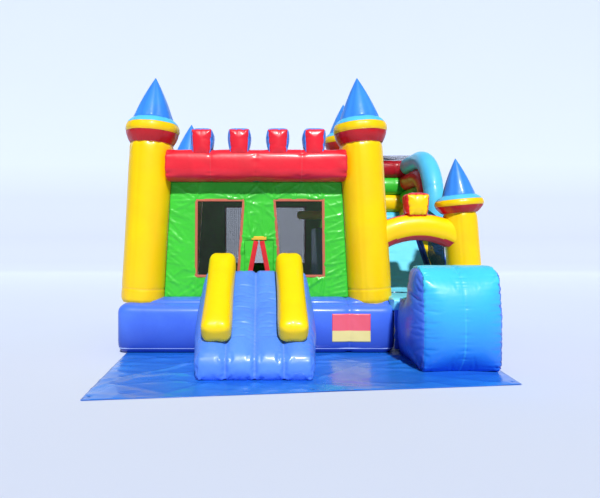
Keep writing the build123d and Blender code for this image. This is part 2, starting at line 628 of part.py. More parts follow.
SIDE_MESH_FRONT, SIDE_MESH_BACK, SIDE_MESH_X = -1180.0, -340.0, LANE_RIGHT + 12.0
mesh_foot = LANDING_TOP + SIDE_RISE + 15
save("slide_side_mesh", side_panel([
    (SIDE_MESH_FRONT, mesh_foot), (SLOPE_FOOT - 60, mesh_foot),
    (SIDE_MESH_BACK, bed_z(SIDE_MESH_BACK) + SIDE_RISE + 15), (SIDE_MESH_BACK, 2150),
    (SIDE_MESH_FRONT, 1900),
], SIDE_MESH_X, MESH_T))

# Climbing slope inside the castle, up to the platform, with a grab roll at its top
CLIMB_LEFT, CLIMB_BACK = 1090.0, 1320.0
climb_points = [
    (-60, BASE_TOP + GAP), (480, PLATFORM_TOP), (CLIMB_BACK, PLATFORM_TOP), (CLIMB_BACK, BASE_TOP + GAP)
]
save("climb_slope", side_chamber(climb_points, [0, 90, 60, 30], CLIMB_LEFT, LANE_LEFT - GAP))
ROLL_R, ROLL_Z, ROLL_Y, ROLL_LEFT, ROLL_RIGHT = 85.0, 2120.0, 1100.0, 785.0, 1440.0
roll_place = Pos((ROLL_LEFT + ROLL_RIGHT) / 2, ROLL_Y, ROLL_Z)
save("climb_roll", roll_place * tube(ROLL_RIGHT - ROLL_LEFT, ROLL_R, edge=70))

# ---------------------------------------------------------------- anchors
RING_WIRE, RING_BOW, RING_Z = 5.0, 35.0, 132.0
TAB_WIDTH, TAB_LENGTH, TAB_T = 50.0, 130.0, 3.0
SLEEVE_OUT, SLEEVE_IN = 9.0, 6.2
# place on the base, and the heading whose +X points away from the castle
ANCHORS = {
    "left_front": (-HALF, -1100.0, 180.0),
    "left_back": (-HALF, 1100.0, 180.0),
    "right_front": (SIDE_RIGHT, -900.0, 0.0),
    "right_back": (SIDE_RIGHT, 1100.0, 0.0),
}
ring_reach = TAB_T + SLEEVE_OUT - 1


def anchor_frame(name):
    """The frame of an anchor: +X out of the wall, +Y along it, at the ring's height."""
    x, y, heading = ANCHORS[name]
    return Pos(x, y, RING_Z) * Rot(0, 0, heading)


def anchor_tab():
    """A webbing strap sewn flat to the wall, with a loop for the ring at its foot."""
    strap = block((GAP, -TAB_WIDTH / 2, 0), (GAP + TAB_T, TAB_WIDTH / 2, TAB_LENGTH))
    loop = Pos(ring_reach, 0, 0) * Rot(90, 0, 0) * Cylinder(SLEEVE_OUT, TAB_WIDTH)
    bore = Pos(ring_reach, 0, 0) * Rot(90, 0, 0) * Cylinder(SLEEVE_IN, TAB_WIDTH * 2)
    return strap + loop - bore


def anchor_ring():
    """A D-ring: a straight bar through the loop and a round bow hanging from it."""
    bar = Pos(ring_reach, 0, 0) * Rot(90, 0, 0) * Cylinder(RING_WIRE, 2 * RING_BOW)
    bow_path = ThreePointArc(
        (ring_reach, -RING_BOW, 0), (ring_reach, 0, -RING_BOW), (ring_reach, RING_BOW, 0)
    )
    bow = sweep(Plane(origin=bow_path @ 0, z_dir=bow_path % 0) * Circle(RING_WIRE), path=bow_path)
    ends = [Pos(ring_reach, side * RING_BOW, 0) * Sphere(RING_WIRE) for side in (-1, 1)]
    return bar + bow + ends[0] + ends[1]


save("anchor_tabs", solids_of(anchor_frame(name) * anchor_tab() for name in ANCHORS))
for name in ANCHORS:
    save(f"anchor_ring_{name}", anchor_frame(name) * anchor_ring())

# ---------------------------------------------------------------- deflation zip on the back
ZIP_X, ZIP_Z, ZIP_L, ZIP_H, ZIP_T = 700.0, 400.0, 900.0, 30.0, 3.0
zip_y = HALF + GAP
save("zip_track", block(
    (ZIP_X - ZIP_L / 2, zip_y, ZIP_Z - ZIP_H / 2), (ZIP_X + ZIP_L / 2, zip_y + ZIP_T, ZIP_Z + ZIP_H / 2)
))
SLIDER_T, PULL_T, SLIDER_INSET = 7.0, 3.0, 20.0
slider_y = zip_y + ZIP_T + GAP
slider = block((-9, slider_y, -11), (9, slider_y + SLIDER_T, 11))
pull = block((-6, slider_y + SLIDER_T, -48), (6, slider_y + SLIDER_T + PULL_T, 4))
save("zip_slider", Pos(ZIP_X - ZIP_L / 2 + SLIDER_INSET, 0, ZIP_Z) * (slider + pull))

# ---------------------------------------------------------------- blower and its sleeve
blower = Pos(BLOWER_X, BLOWER_Y, BLOWER_Z)
MOUTH = -330.0            # front of the scroll's outlet box


def scroll(inset, width):
    """The volute: a round drum with a straight outlet box towards the castle."""
    drum = Circle(SCROLL_R - inset)
    outlet_low, outlet_high = -SCROLL_R + inset, -NOZZLE_DROP + NOZZLE_R + 10 - inset
    outlet = make_face(Polyline(
        (0, outlet_low), (MOUTH + inset, outlet_low), (MOUTH + inset, outlet_high), (0, outlet_high),
        close=True,
    ))
    return side_profile(drum + outlet, -width / 2, width / 2)


nozzle_place = Pos(0, MOUTH - NOZZLE_L / 2 + PLASTIC / 2, -NOZZLE_DROP) * Rot(90, 0, 0)
FOOT_X, FOOT_HALF_W = 95.0, 16.0
HANDLE_R, HANDLE_W, HANDLE_RISE = 10.0, 150.0, 70.0
BOX_X, BOX_Y, BOX_T, GLAND_R = SCROLL_W / 2, 150.0, 46.0, 13.0
housing = scroll(0, SCROLL_W) + nozzle_place * Cylinder(NOZZLE_R, NOZZLE_L + PLASTIC)
for x in (-FOOT_X, FOOT_X):
    housing += block(
        (x - FOOT_HALF_W, -300, -BLOWER_Z + 1), (x + FOOT_HALF_W, 200, -SCROLL_R + 60)
    )
for x in (-HANDLE_W / 2, HANDLE_W / 2):
    housing += Pos(x, 0, SCROLL_R + 30) * Cylinder(HANDLE_R, 90)
grip = Rot(0, 90, 0) * Cylinder(HANDLE_R, HANDLE_W + 2 * HANDLE_R)
housing += Pos(0, 0, SCROLL_R + HANDLE_RISE) * grip
housing += block((BOX_X, BOX_Y - 34, -40), (BOX_X + BOX_T, BOX_Y + 40, 80))
housing += Pos(BOX_X + BOX_T / 2, BOX_Y, -52) * Cylinder(GLAND_R, 26)
housing -= scroll(PLASTIC, SCROLL_W - 2 * PLASTIC)
housing -= nozzle_place * Cylinder(NOZZLE_R - PLASTIC, NOZZLE_L + 40)
INTAKE_R = 95.0
housing -= Pos(SCROLL_W / 2, 0, 0) * Rot(0, 90, 0) * Cylinder(INTAKE_R, 3 * PLASTIC)
MOTOR_R, MOTOR_L, MOTOR_HOLE = 78.0, 150.0, 16.0
housing -= Pos(-SCROLL_W / 2, 0, 0) * Rot(0, 90, 0) * Cylinder(MOTOR_HOLE, 3 * PLASTIC)
SWITCH_Z, SWITCH_HALF_Z, SWITCH_HALF_Y = 45.0, 20.0, 11.0
housing -= block(
    (BOX_X + BOX_T - 12, BOX_Y - SWITCH_HALF_Y, SWITCH_Z - SWITCH_HALF_Z),
    (BOX_X + BOX_T + 12, BOX_Y + SWITCH_HALF_Y, SWITCH_Z + SWITCH_HALF_Z),
)
save("blower_housing", blower * housing)

ROCKER_R = 8.0
rocker = Rot(90, 0, 0) * Cylinder(ROCKER_R, 2 * SWITCH_HALF_Y - 3)
rocker += block((-2, -SWITCH_HALF_Y + 1.5, -15), (7, SWITCH_HALF_Y - 1.5, 15))
save("blower_switch", blower * Pos(BOX_X + BOX_T - 2, BOX_Y, SWITCH_Z) * rocker)

GRILLE_T, SLOT_PITCH, SLOT_W = 3.0, 16.0, 11.0
grille = Cylinder(INTAKE_R + SLOT_PITCH, GRILLE_T)
for index in range(5):
    inner_r = 14 + index * SLOT_PITCH
    grille -= Cylinder(inner_r + SLOT_W, 20) - Cylinder(inner_r, 20)
for angle in range(0, 180, 45):
    grille += Rot(0, 0, angle) * Box(2 * INTAKE_R + 8, 5, GRILLE_T)
save("blower_grille", blower * Pos(SCROLL_W / 2 + GRILLE_T / 2 + 0.4, 0, 0) * Rot(0, 90, 0) * grille)

WHEEL_R, WHEEL_W, BLADES, DISC_T, EYE_R = 150.0, 110.0, 12, 4.0, 88.0
wheel = Pos(0, 0, -WHEEL_W / 2) * Cylinder(WHEEL_R, DISC_T)
eye = Cylinder(WHEEL_R, DISC_T) - Cylinder(EYE_R, 2 * DISC_T)
wheel += Pos(0, 0, WHEEL_W / 2) * eye
for index in range(BLADES):
    turn = Rot(0, 0, index * 360 / BLADES)
    wheel += turn * Pos(120, 0, 0) * Rot(0, 0, 35) * Box(62, 3, WHEEL_W)
wheel += Pos(0, 0, -WHEEL_W / 2 + 20) * Cylinder(24, 44)
wheel += Pos(0, 0, -WHEEL_W / 2 - 35) * Cylinder(SHAFT_R, 110)
save("blower_impeller", blower * Rot(0, 90, 0) * wheel)

motor = Pos(0, 0, -SCROLL_W / 2 - MOTOR_L / 2 - 0.5) * Cylinder(MOTOR_R, MOTOR_L)
motor -= Pos(0, 0, -SCROLL_W / 2 - 20) * Cylinder(SHAFT_R + 0.3, 90)
save("blower_motor", blower * Rot(0, 90, 0) * motor)

SLEEVE_R = 104.0
sleeve_end = BLOWER_Y + MOUTH - 24
sleeve_z = BLOWER_Z - NOZZLE_DROP
sleeve_len = sleeve_end - (HALF + GAP)
sleeve = Cylinder(SLEEVE_R, sleeve_len) - Cylinder(SLEEVE_R - SKIN, sleeve_len + 10)
save("inflation_sleeve", Pos(BLOWER_X, sleeve_end - sleeve_len / 2, sleeve_z) * Rot(90, 0, 0) * sleeve)
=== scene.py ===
import math

import bmesh
import bpy
import numpy as np
from mathutils import Matrix, Vector
from mathutils.bvhtree import BVHTree
from mathutils.kdtree import KDTree


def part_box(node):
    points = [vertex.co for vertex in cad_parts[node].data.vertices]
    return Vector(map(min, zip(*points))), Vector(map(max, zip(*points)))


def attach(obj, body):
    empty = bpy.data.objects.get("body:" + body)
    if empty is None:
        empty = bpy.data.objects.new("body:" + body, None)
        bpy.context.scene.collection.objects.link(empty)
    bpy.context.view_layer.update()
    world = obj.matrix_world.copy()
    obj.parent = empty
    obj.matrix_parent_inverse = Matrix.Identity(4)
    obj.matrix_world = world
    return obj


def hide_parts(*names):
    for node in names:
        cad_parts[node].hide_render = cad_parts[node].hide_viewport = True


# Inflatable castle with a slide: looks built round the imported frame. Metres, +Z up,
# +X towards the slide, +Y from the entrance to the back.

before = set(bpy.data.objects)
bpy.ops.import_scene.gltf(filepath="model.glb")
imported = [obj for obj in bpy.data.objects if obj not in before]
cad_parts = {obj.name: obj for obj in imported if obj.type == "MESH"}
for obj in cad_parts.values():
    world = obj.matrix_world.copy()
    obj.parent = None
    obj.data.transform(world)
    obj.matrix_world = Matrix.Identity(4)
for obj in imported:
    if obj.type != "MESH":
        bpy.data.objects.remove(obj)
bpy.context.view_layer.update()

FAR = 9.0              # further off than any seam reaches
ROUGH_TURN = 6.28      # about a full turn, for random headings and phases
SEAM_SHADE = 0.03      # how far off a seam its darker strip reaches


# ------------------------------------------------------------------ materials
def srgb(red, green, blue):
    """A colour given in screen values from 0 to 255, as linear light."""
    def linear(value):
        value /= 255
        return value / 12.92 if value <= 0.04045 else ((value + 0.055) / 1.055) ** 2.4
    return linear(red), linear(green), linear(blue), 1.0


class Nodes:
    """A short way to write a node tree."""

    def __init__(self, name):
        self.material = bpy.data.materials.new(name)
        self.material.use_nodes = True
        self.tree = self.material.node_tree
        self.shader = self.tree.nodes["Principled BSDF"]

    def add(self, kind, inputs=None, **settings):
        """A node with some settings, and values or links for its inputs."""
        node = self.tree.nodes.new(kind)
        for key, value in settings.items():
            setattr(node, key, value)
        for key, value in (inputs or {}).items():
            self.put(node.inputs[key], value)
        return node

    def put(self, socket, value):
        """Links an output to a socket, or sets its value."""
        if isinstance(value, bpy.types.NodeSocket):
            self.tree.links.new(value, socket)
        else:
            socket.default_value = value

    def maths(self, operation, first, second=0.0, third=0.0):
        node = self.add("ShaderNodeMath", {0: first, 1: second, 2: third}, operation=operation)
        return node.outputs[0]

    def mix(self, factor, first, second):
        node = self.add("ShaderNodeMix", {"Factor": factor, 6: first, 7: second}, data_type="RGBA")
        return node.outputs[2]

    def remap(self, value, low, high, to_low, to_high):
        node = self.add("ShaderNodeMapRange", {
            "Value": value, "From Min": low, "From Max": high, "To Min": to_low, "To Max": to_high,
        })
        return node.outputs[0]

    def blend(self, colour, other, pattern, low, high, share):
        """A colour that goes a share of the way to another as a pattern rises from low to high."""
        return self.mix(self.remap(pattern, low, high, 0.0, share), colour, other)

    def noise(self, where, scale, detail=3.0, distortion=0.0):
        node = self.add("ShaderNodeTexNoise", {
            "Vector": where, "Scale": scale, "Detail": detail, "Distortion": distortion,
        })
        return node.outputs["Fac"]

    def wave(self, where, scale, direction, distortion=0.0):
        inputs = {"Vector": where, "Scale": scale, "Distortion": distortion}
        return self.add("ShaderNodeTexWave", inputs, bands_direction=direction).outputs["Fac"]

    def where(self):
        """The place on the object."""
        return self.add("ShaderNodeTexCoord").outputs["Object"]

    def part_of(self, where, axis):
        return self.add("ShaderNodeSeparateXYZ", {"Vector": where}).outputs[axis]

    def field(self, name):
        """A number field kept on the mesh."""
        return self.add("ShaderNodeAttribute", attribute_name=name).outputs["Fac"]

    def bump(self, height, strength, distance):
        node = self.add("ShaderNodeBump", {"Height": height, "Strength": strength, "Distance": distance})
        return node.outputs["Normal"]

    def shade(self, **values):
        """Sets the shader's own sockets."""
        for key, value in values.items():
            self.put(self.shader.inputs[key.replace("_", " ")], value)


WEAVE_PITCH, STITCHES_PER_METRE, STITCH_SHARE = 0.004, 125.0, 0.62
STITCH_ROW, STITCH_ROW_HALF = 0.72, 0.035     # place and half width of the row, in the seam field


def coated_fabric(name, light, deep, roughness=(0.30, 0.46), coat=0.16, crumple=0.5, foot_shade=None):
    """Glossy coated fabric: mottled colour, seams darkened by painted shade and dirt, stitches, weave and soft
    crumples, and painted shade that darkens it towards the foot.
    """
    nodes = Nodes(name)
    where, seam, run = nodes.where(), nodes.field("seam"), nodes.field("run")
    cloudy = nodes.noise(where, 1.7, 4.0, 0.6)
    colour = nodes.blend(light, deep, cloudy, 0.35, 0.75, 0.55)
    colour = nodes.blend(colour, deep, nodes.noise(where, 23.0), 0.3, 0.8, 0.10)
    # painted shade: the colour darkens towards a given colour below a given height
    if foot_shade:
        low, high, shade_colour = foot_shade
        colour = nodes.mix(nodes.remap(nodes.part_of(where, "Z"), low, high, 1.0, 0.0), colour, shade_colour)
    # painted shade and dirt: darker colour along the seams
    colour = nodes.blend(colour, deep, seam, 0.55, 1.0, 0.45)
    step = nodes.maths("FRACT", nodes.maths("MULTIPLY", run, STITCHES_PER_METRE))
    dash = nodes.maths("LESS_THAN", step, STITCH_SHARE)
    stitch = nodes.maths("MULTIPLY", dash, nodes.maths("COMPARE", seam, STITCH_ROW, STITCH_ROW_HALF))
    thread = tuple(0.5 * value + 0.35 for value in light[:3]) + (1.0,)
    colour = nodes.mix(nodes.maths("MULTIPLY", stitch, 0.22), colour, thread)
    threads = [nodes.wave(where, 1 / WEAVE_PITCH / ROUGH_TURN, axis) for axis in "XZ"]
    woven = nodes.maths("MULTIPLY", nodes.maths("ADD", *threads), 0.02)
    soft = nodes.maths("MULTIPLY", nodes.noise(where, 5.0, 5.0, 0.8), crumple)
    height = nodes.maths("ADD", woven, soft)
    height = nodes.maths("SUBTRACT", height, nodes.maths("MULTIPLY", stitch, 0.08))
    nodes.shade(
        Base_Color=colour, Roughness=nodes.remap(cloudy, 0.3, 0.7, *roughness),
        Normal=nodes.bump(height, 0.55, 0.012), Coat_Weight=coat, Coat_Roughness=0.14, IOR=1.42,
    )
    return nodes.material


def webbing(name, light, deep):
    """Matt woven tape with a ribbed face."""
    nodes = Nodes(name)
    where = nodes.where()
    rib = nodes.wave(where, 55.0, "DIAGONAL", 0.3)
    colour = nodes.blend(light, deep, rib, 0.0, 1.0, 0.6)
    colour = nodes.blend(colour, deep, nodes.noise(where, 9.0), 0.35, 0.75, 0.3)
    nodes.shade(
        Base_Color=colour, Roughness=nodes.remap(nodes.noise(where, 30.0), 0.3, 0.7, 0.62, 0.85),
        Normal=nodes.bump(rib, 0.4, 0.002), Sheen_Weight=0.2,
    )
    return nodes.material


def netting(name, colour, pitch=0.012, open_share=0.55):
    """Fine knotless net: threads on a small grid with open holes between them."""
    nodes = Nodes(name)
    where = nodes.where()
    flat = nodes.maths("ADD", nodes.part_of(where, "X"), nodes.part_of(where, "Y"))
    holes = []
    for axis in (flat, nodes.part_of(where, "Z")):
        cell = nodes.maths("FRACT", nodes.maths("MULTIPLY", axis, 1 / pitch))
        holes.append(nodes.maths("LESS_THAN", cell, math.sqrt(open_share)))
    nodes.shade(
        Base_Color=nodes.blend(colour, srgb(20, 24, 22), nodes.noise(where, 4.0), 0.3, 0.7, 1.0),
        Roughness=nodes.remap(nodes.noise(where, 40.0), 0.3, 0.7, 0.6, 0.9),
        Alpha=nodes.maths("SUBTRACT", 1.0, nodes.maths("MULTIPLY", *holes)),
    )
    return nodes.material


def solid_part(name, light, deep, metallic, roughness):
    """Moulded plastic or metal with a fine grain and mottled gloss."""
    nodes = Nodes(name)
    where = nodes.where()
    speck = nodes.noise(where, 60.0, 4.0)
    colour = nodes.blend(light, deep, nodes.noise(where, 7.0), 0.35, 0.7, 0.7)
    nodes.shade(
        Base_Color=nodes.blend(colour, deep, speck, 0.4, 0.8, 0.25),
        Roughness=nodes.remap(speck, 0.3, 0.7, *roughness),
        Normal=nodes.bump(speck, 0.4, 0.0006), Metallic=metallic,
    )
    return nodes.material


YELLOW = coated_fabric("yellow_vinyl", srgb(255, 216, 2), srgb(252, 192, 0))
BRIGHT_YELLOW = coated_fabric("rail_yellow_vinyl", srgb(255, 224, 4), srgb(254, 200, 0))
RED = coated_fabric("red_vinyl", srgb(240, 38, 58), srgb(196, 18, 36))
DEEP_RED = coated_fabric("deep_red_vinyl", srgb(206, 22, 34), srgb(160, 14, 26))
GREEN = coated_fabric("green_vinyl", srgb(66, 206, 58), srgb(40, 176, 38), crumple=1.6)
SIDE_GREEN = coated_fabric("side_green_vinyl", srgb(48, 180, 48), srgb(30, 150, 34), crumple=0.6)
CYAN = coated_fabric("cyan_vinyl", srgb(96, 210, 255), srgb(62, 184, 250))
# painted shade and painted reflection: darker towards the foot, where the faces turn down and mirror the blue
# ground sheet
STOPPER_CYAN = coated_fabric(
    "stopper_vinyl", srgb(76, 214, 250), srgb(52, 192, 244), foot_shade=(-0.05, 1.25, srgb(10, 84, 222)),
)
# painted shadow: navy on the side wall's inner face and the bed's right edge, where the gap beside the bed
# lies in shade
GAP_SHADOW_NAVY = coated_fabric("navy_gap_shadow", srgb(24, 44, 120), srgb(14, 28, 86))
BED_CYAN = coated_fabric("slide_bed_vinyl", srgb(128, 228, 255), srgb(92, 204, 250), crumple=1.2)
# painted shade: darker towards the foot, where the base's tube curves under
ROYAL = coated_fabric(
    "royal_blue_vinyl", srgb(78, 126, 242), srgb(48, 92, 218), foot_shade=(0.0, 0.55, srgb(24, 54, 160)),
)
RAMP_BLUE = coated_fabric("ramp_blue_vinyl", srgb(92, 148, 252), srgb(62, 114, 234))
SPIRE_BLUE = coated_fabric("spire_blue_vinyl", srgb(62, 148, 248), srgb(36, 110, 228))
FLOOR_GREY = coated_fabric("floor_vinyl", srgb(190, 200, 214), srgb(166, 178, 196), crumple=0.6)
TARP = coated_fabric("ground_sheet_vinyl", srgb(40, 128, 232), srgb(24, 98, 210), (0.22, 0.42), 0.45, 1.0)
PATCH_PINK = coated_fabric("patch_pink_print", srgb(244, 104, 120), srgb(226, 76, 96), coat=0.1)
PATCH_CREAM = coated_fabric("patch_cream_print", srgb(240, 226, 150), srgb(226, 208, 122), coat=0.1)
RUST_TAPE = webbing("rust_binding_tape", srgb(204, 112, 86), srgb(170, 80, 58))
RED_TAPE = webbing("red_door_strap", srgb(236, 28, 44), srgb(190, 14, 30))
GOLD_TAPE = webbing("gold_door_tab", srgb(246, 202, 62), srgb(222, 168, 34))
BLACK_TAPE = webbing("black_anchor_webbing", srgb(48, 48, 52), srgb(22, 22, 24))
PIPING_BLUE = coated_fabric("white_piping", srgb(160, 184, 236), srgb(118, 148, 214), crumple=0.2)
NET = netting("window_net", srgb(34, 44, 38))
TOP_NET = netting("slide_top_net", srgb(58, 40, 40), 0.014, 0.30)
SIDE_NET = netting("slide_side_net", srgb(18, 74, 84), 0.012, 0.30)
BRASS = solid_part("eyelet_brass", srgb(196, 164, 92), srgb(150, 118, 58), 1.0, (0.25, 0.45))
STEEL = solid_part("ring_steel", srgb(200, 202, 206), srgb(150, 152, 158), 1.0, (0.22, 0.42))
SHELL = solid_part("blower_shell_plastic", srgb(236, 118, 26), srgb(214, 94, 14), 0.0, (0.32, 0.5))
DARK_PLASTIC = solid_part("dark_plastic", srgb(52, 54, 58), srgb(34, 35, 38), 0.0, (0.35, 0.6))
GREY_METAL = solid_part("motor_paint", srgb(120, 124, 130), srgb(92, 95, 100), 0.6, (0.3, 0.5))
BLACK_METAL = solid_part("grille_paint", srgb(40, 41, 44), srgb(24, 25, 27), 0.5, (0.3, 0.5))


# ------------------------------------------------------------------ skins
def bell(off, width):
    """1 on a line, falling away smoothly on both sides of it."""
    return np.exp(-(off / width) ** 2)


def pucker(run, gap, length, depth, reach, pitch, seed):
    """Depth of the folds that run out from a seam: run is the place along it, gap the distance off it."""
    rng = np.random.default_rng(seed)
    folds = np.zeros(np.broadcast(run, gap).shape)
    count = max(3, int(length / pitch))
    for index in range(count):
        place = (index + rng.uniform(-0.4, 0.4)) * length / count
        width = pitch * rng.uniform(0.14, 0.30)
        far = reach * rng.uniform(0.35, 1.0)
        strong = depth * rng.uniform(0.25, 1.0)
        skew = rng.normal(0.0, 0.30)
        across = (run - place - skew * gap + length / 2) % length - length / 2
        spread = width * (1 + 2.2 * gap / reach)
        folds += strong * bell(across, spread) * bell(gap, far)
    return folds


def tube_normals(points):
    """Unit normals of a tube's grid of points, whose columns run round it."""
    normal = np.cross(np.gradient(points, axis=0), np.roll(points, -1, 1) - np.roll(points, 1, 1))
    return normal / np.maximum(np.linalg.norm(normal, axis=2, keepdims=True), 1e-9)


def dress(mesh, materials, picks=None, gap=None, run=None):
    """Gives a mesh its finishes, smooth shading and the fields its seams are drawn with."""
    mesh.materials.clear()
    for material in materials if isinstance(materials, (list, tuple)) else [materials]:
        mesh.materials.append(material)
    if picks is not None:
        mesh.polygons.foreach_set("material_index", np.asarray(picks, dtype=np.int32))
    if gap is not None:
        for field, values in (("seam", np.clip(1 - gap / SEAM_SHADE, 0, 1)), ("run", run)):
            layer = mesh.attributes.new(field, "FLOAT", "POINT")
            layer.data.foreach_set("value", values.astype(np.float32))
    mesh.polygons.foreach_set("use_smooth", [True] * len(mesh.polygons))
    mesh.update()


def mesh_object(name, verts, faces, materials, picks=None, gap=None, run=None):
    """A mesh object with its finishes."""
    mesh = bpy.data.meshes.new(name)
    mesh.from_pydata(np.asarray(verts).tolist(), [], [list(map(int, face)) for face in faces])
    dress(mesh, materials, picks, gap, run)
    obj = bpy.data.objects.new(name, mesh)
    bpy.context.scene.collection.objects.link(obj)
    return obj


def grid_faces(rows, cols, loop_rows=False, loop_cols=False):
    """Quads of a grid, wound so that rows x columns gives the outward side."""
    row_ids = np.arange(rows if loop_rows else rows - 1)
    col_ids = np.arange(cols if loop_cols else cols - 1)
    row, col = np.meshgrid(row_ids, col_ids, indexing="ij")
    next_row, next_col = (row + 1) % rows, (col + 1) % cols
    corners = [row * cols + col, next_row * cols + col, next_row * cols + next_col, row * cols + next_col]
    return np.stack([corner.ravel() for corner in corners], axis=1)


def skin(name, points, materials, loop_rows=False, gap=FAR, run=0.0):
    """One closed piece from a grid of points whose columns run round: open ends are closed with fans."""
    rows, cols, _ = points.shape
    verts = list(points.reshape(-1, 3))
    faces = [list(face) for face in grid_faces(rows, cols, loop_rows, True)]
    gap, run = (list(np.broadcast_to(field, (rows, cols)).ravel()) for field in (gap, run))
    if not loop_rows:
        for row in (0, rows - 1):
            ring = list(range(row * cols, (row + 1) * cols))
            verts.append(points[row].mean(axis=0))
            gap.append(FAR)
            run.append(0.0)
            for here, there in zip(ring, ring[1:] + ring[:1]):
                faces.append([there, here, len(verts) - 1] if row == 0 else [here, there, len(verts) - 1])
    return mesh_object(name, verts, faces, materials, None, np.array(gap), np.array(run))


def place_piece(obj, *nodes, body="castle", fill=None):
    """Says what a piece rides on and what it stands for."""
    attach(obj, body)
    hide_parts(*nodes)
    return obj


def end_rounding(along, length, ending, power):
    """Share of the full section left near the ends of a sausage."""
    inward = np.minimum(along, length - along)
    share = np.clip(1 - inward / ending, 0, 1)
    return np.maximum(1 - share ** power, 0) ** (1 / power)


def spaced(length, step, ending):
    """Places along a length, closer together near both ends."""
    inner = np.linspace(ending, length - ending, max(3, int((length - 2 * ending) / step)))
    near = ending * (1 - np.cos(np.linspace(0.10, math.pi / 2, 12)))
    return np.concatenate([near[:-1], inner, length - near[:-1][::-1]])


def sausage(name, path, radius, material, around, step, ending, seams, seed, pinch=0.0, fold=0.012,
            up_hint=(0, 0, 1), squareness=2.0, depth_share=1.0, end_power=2.4):
    """An inflated tube along a path of points, with sewn ends and ring seams at some shares of its length."""
    path = np.asarray(path, float)
    legs = np.linalg.norm(np.diff(path, axis=0), axis=1)
    marks = np.concatenate([[0], np.cumsum(legs)])
    length = marks[-1]
    along = spaced(length, step, ending)
    centres = np.stack([np.interp(along, marks, path[:, axis]) for axis in range(3)], axis=1)
    tangents = np.gradient(centres, axis=0)
    tangents /= np.linalg.norm(tangents, axis=1, keepdims=True)
    sides = np.cross(tangents, np.array(up_hint, float))
    sides /= np.linalg.norm(sides, axis=1, keepdims=True)
    ups = np.cross(sides, tangents)
    angle = np.linspace(0, 2 * math.pi, around, endpoint=False)
    power = 2 / squareness
    ring = np.stack([
        np.sign(np.cos(angle)) * np.abs(np.cos(angle)) ** power * depth_share,
        np.sign(np.sin(angle)) * np.abs(np.sin(angle)) ** power,
    ], axis=1)
    section = (radius * end_rounding(along, length, ending, end_power))[:, None, None] * ring[None]
    points = centres[:, None] + section[..., :1] * sides[:, None] + section[..., 1:] * ups[:, None]
    girth = 2 * math.pi * radius
    run = angle[None, :] * radius
    gap = np.minimum(along, length - along)[:, None]
    sink = pucker(run, gap, girth, fold, 0.30, 0.11, seed)
    for index, share in enumerate(seams):
        off = np.abs(along - share * length)[:, None]
        sink += pinch * bell(off, 0.022)
        sink += pucker(run, off, girth, fold * 0.5, 0.13, 0.10, seed * 31 + index)
        gap = np.minimum(gap, off)
    normals = tube_normals(points)
    if (normals * (points - centres[:, None])).sum() < 0:
        points, normals, sink, run = points[:, ::-1], -normals[:, ::-1], sink[:, ::-1], run[:, ::-1]
    return skin(name, points - normals * sink[:, :, None], material, gap=gap, run=run)


# ------------------------------------------------------------------ chambers grown from the CAD solids
ON_THE_GROUND = 0.05      # a chamber whose lowest point is below this stands flat on the ground
SEAM_ANGLE = 0.5          # an edge sharper than this, in radians, is a seam


def shells(faces):
    """The separate shells among some bmesh faces, as lists of faces."""
    waiting, found = set(faces), []
    for first in faces:
        if first not in waiting:
            continue
        waiting.remove(first)
        shell = [first]
        for face in shell:
            for edge in face.edges:
                for other in edge.link_faces:
                    if other in waiting:
                        waiting.remove(other)
                        shell.append(other)
        found.append(shell)
    return found


def cad_skins(node):
    """A bmesh of the outer skins of a CAD node's solids, as it stands at rest."""
    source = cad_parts[node]
    whole = bmesh.new()
    whole.from_mesh(source.data)
    whole.transform(source.matrix_world)
    bmesh.ops.remove_doubles(whole, verts=whole.verts, dist=1e-6)
    linings = []
    for shell in shells(whole.faces):
        if sum(face.calc_center_median().dot(face.normal) * face.calc_area() for face in shell) < 0:
            linings += shell
    bmesh.ops.delete(whole, geom=linings, context="FACES")
    return whole


def seam_points(edges, step):
    """Points along every sharp edge, where panels are sewn together."""
    points = []
    for edge in edges:
        if len(edge.link_faces) == 2 and edge.calc_face_angle() > SEAM_ANGLE:
            first, second = (np.array(vert.co) for vert in edge.verts)
            count = max(2, int(np.linalg.norm(second - first) / step) + 1)
            points.append(first + (second - first) * np.linspace(0, 1, count)[:, None])
    return np.concatenate(points) if points else np.full((1, 3), 99.0)


def nearest_points(points, targets):
    """The nearest target of every point."""
    tree = KDTree(len(targets))
    for index, target in enumerate(targets):
        tree.insert(target, index)
    tree.balance()
    return np.array([targets[tree.find(point)[1]] for point in points])


def relaxed(points, edges, rounds):
    """Laplacian smoothing of a mesh given by its points and edges."""
    first, second = edges[:, 0], edges[:, 1]
    count = np.bincount(np.concatenate([first, second]), minlength=len(points))[:, None]
    for _ in range(rounds):
        total = np.empty_like(points)
        for axis in range(3):
            total[:, axis] = np.bincount(first, points[second, axis], len(points))
            total[:, axis] += np.bincount(second, points[first, axis], len(points))
        points = points + 0.5 * (total / np.maximum(count, 1) - points)
    return points


def ridges(points, pitch, seed):
    """A field of fold crests from 0 to 1 that runs across a seam, given the nearest seam points."""
    rng = np.random.default_rng(seed)
    total = np.zeros(len(points))
    for _ in range(5):
        heading = rng.normal(size=3)
        heading /= np.linalg.norm(heading)
        length = pitch * rng.uniform(0.5, 1.3)
        total += np.sin(points @ heading * 2 * math.pi / length + rng.uniform(0, ROUGH_TURN))
    return np.clip(total / 2.4 - 0.05, 0, 1) ** 1.2


def read(items, field, width, kind=np.float64):
    """One field of a mesh's points, edges or faces, as rows of numbers."""
    values = np.empty(len(items) * width, dtype=kind)
    items.foreach_get(field, values)
    return values.reshape(-1, width)


def get_points(mesh):
    return read(mesh.vertices, "co", 3)


def face_places(mesh):
    """Centres and normals of a mesh's faces."""
    return read(mesh.polygons, "center", 3), read(mesh.polygons, "normal", 3)


def set_points(mesh, points):
    mesh.vertices.foreach_set("co", points.ravel())
    mesh.update()


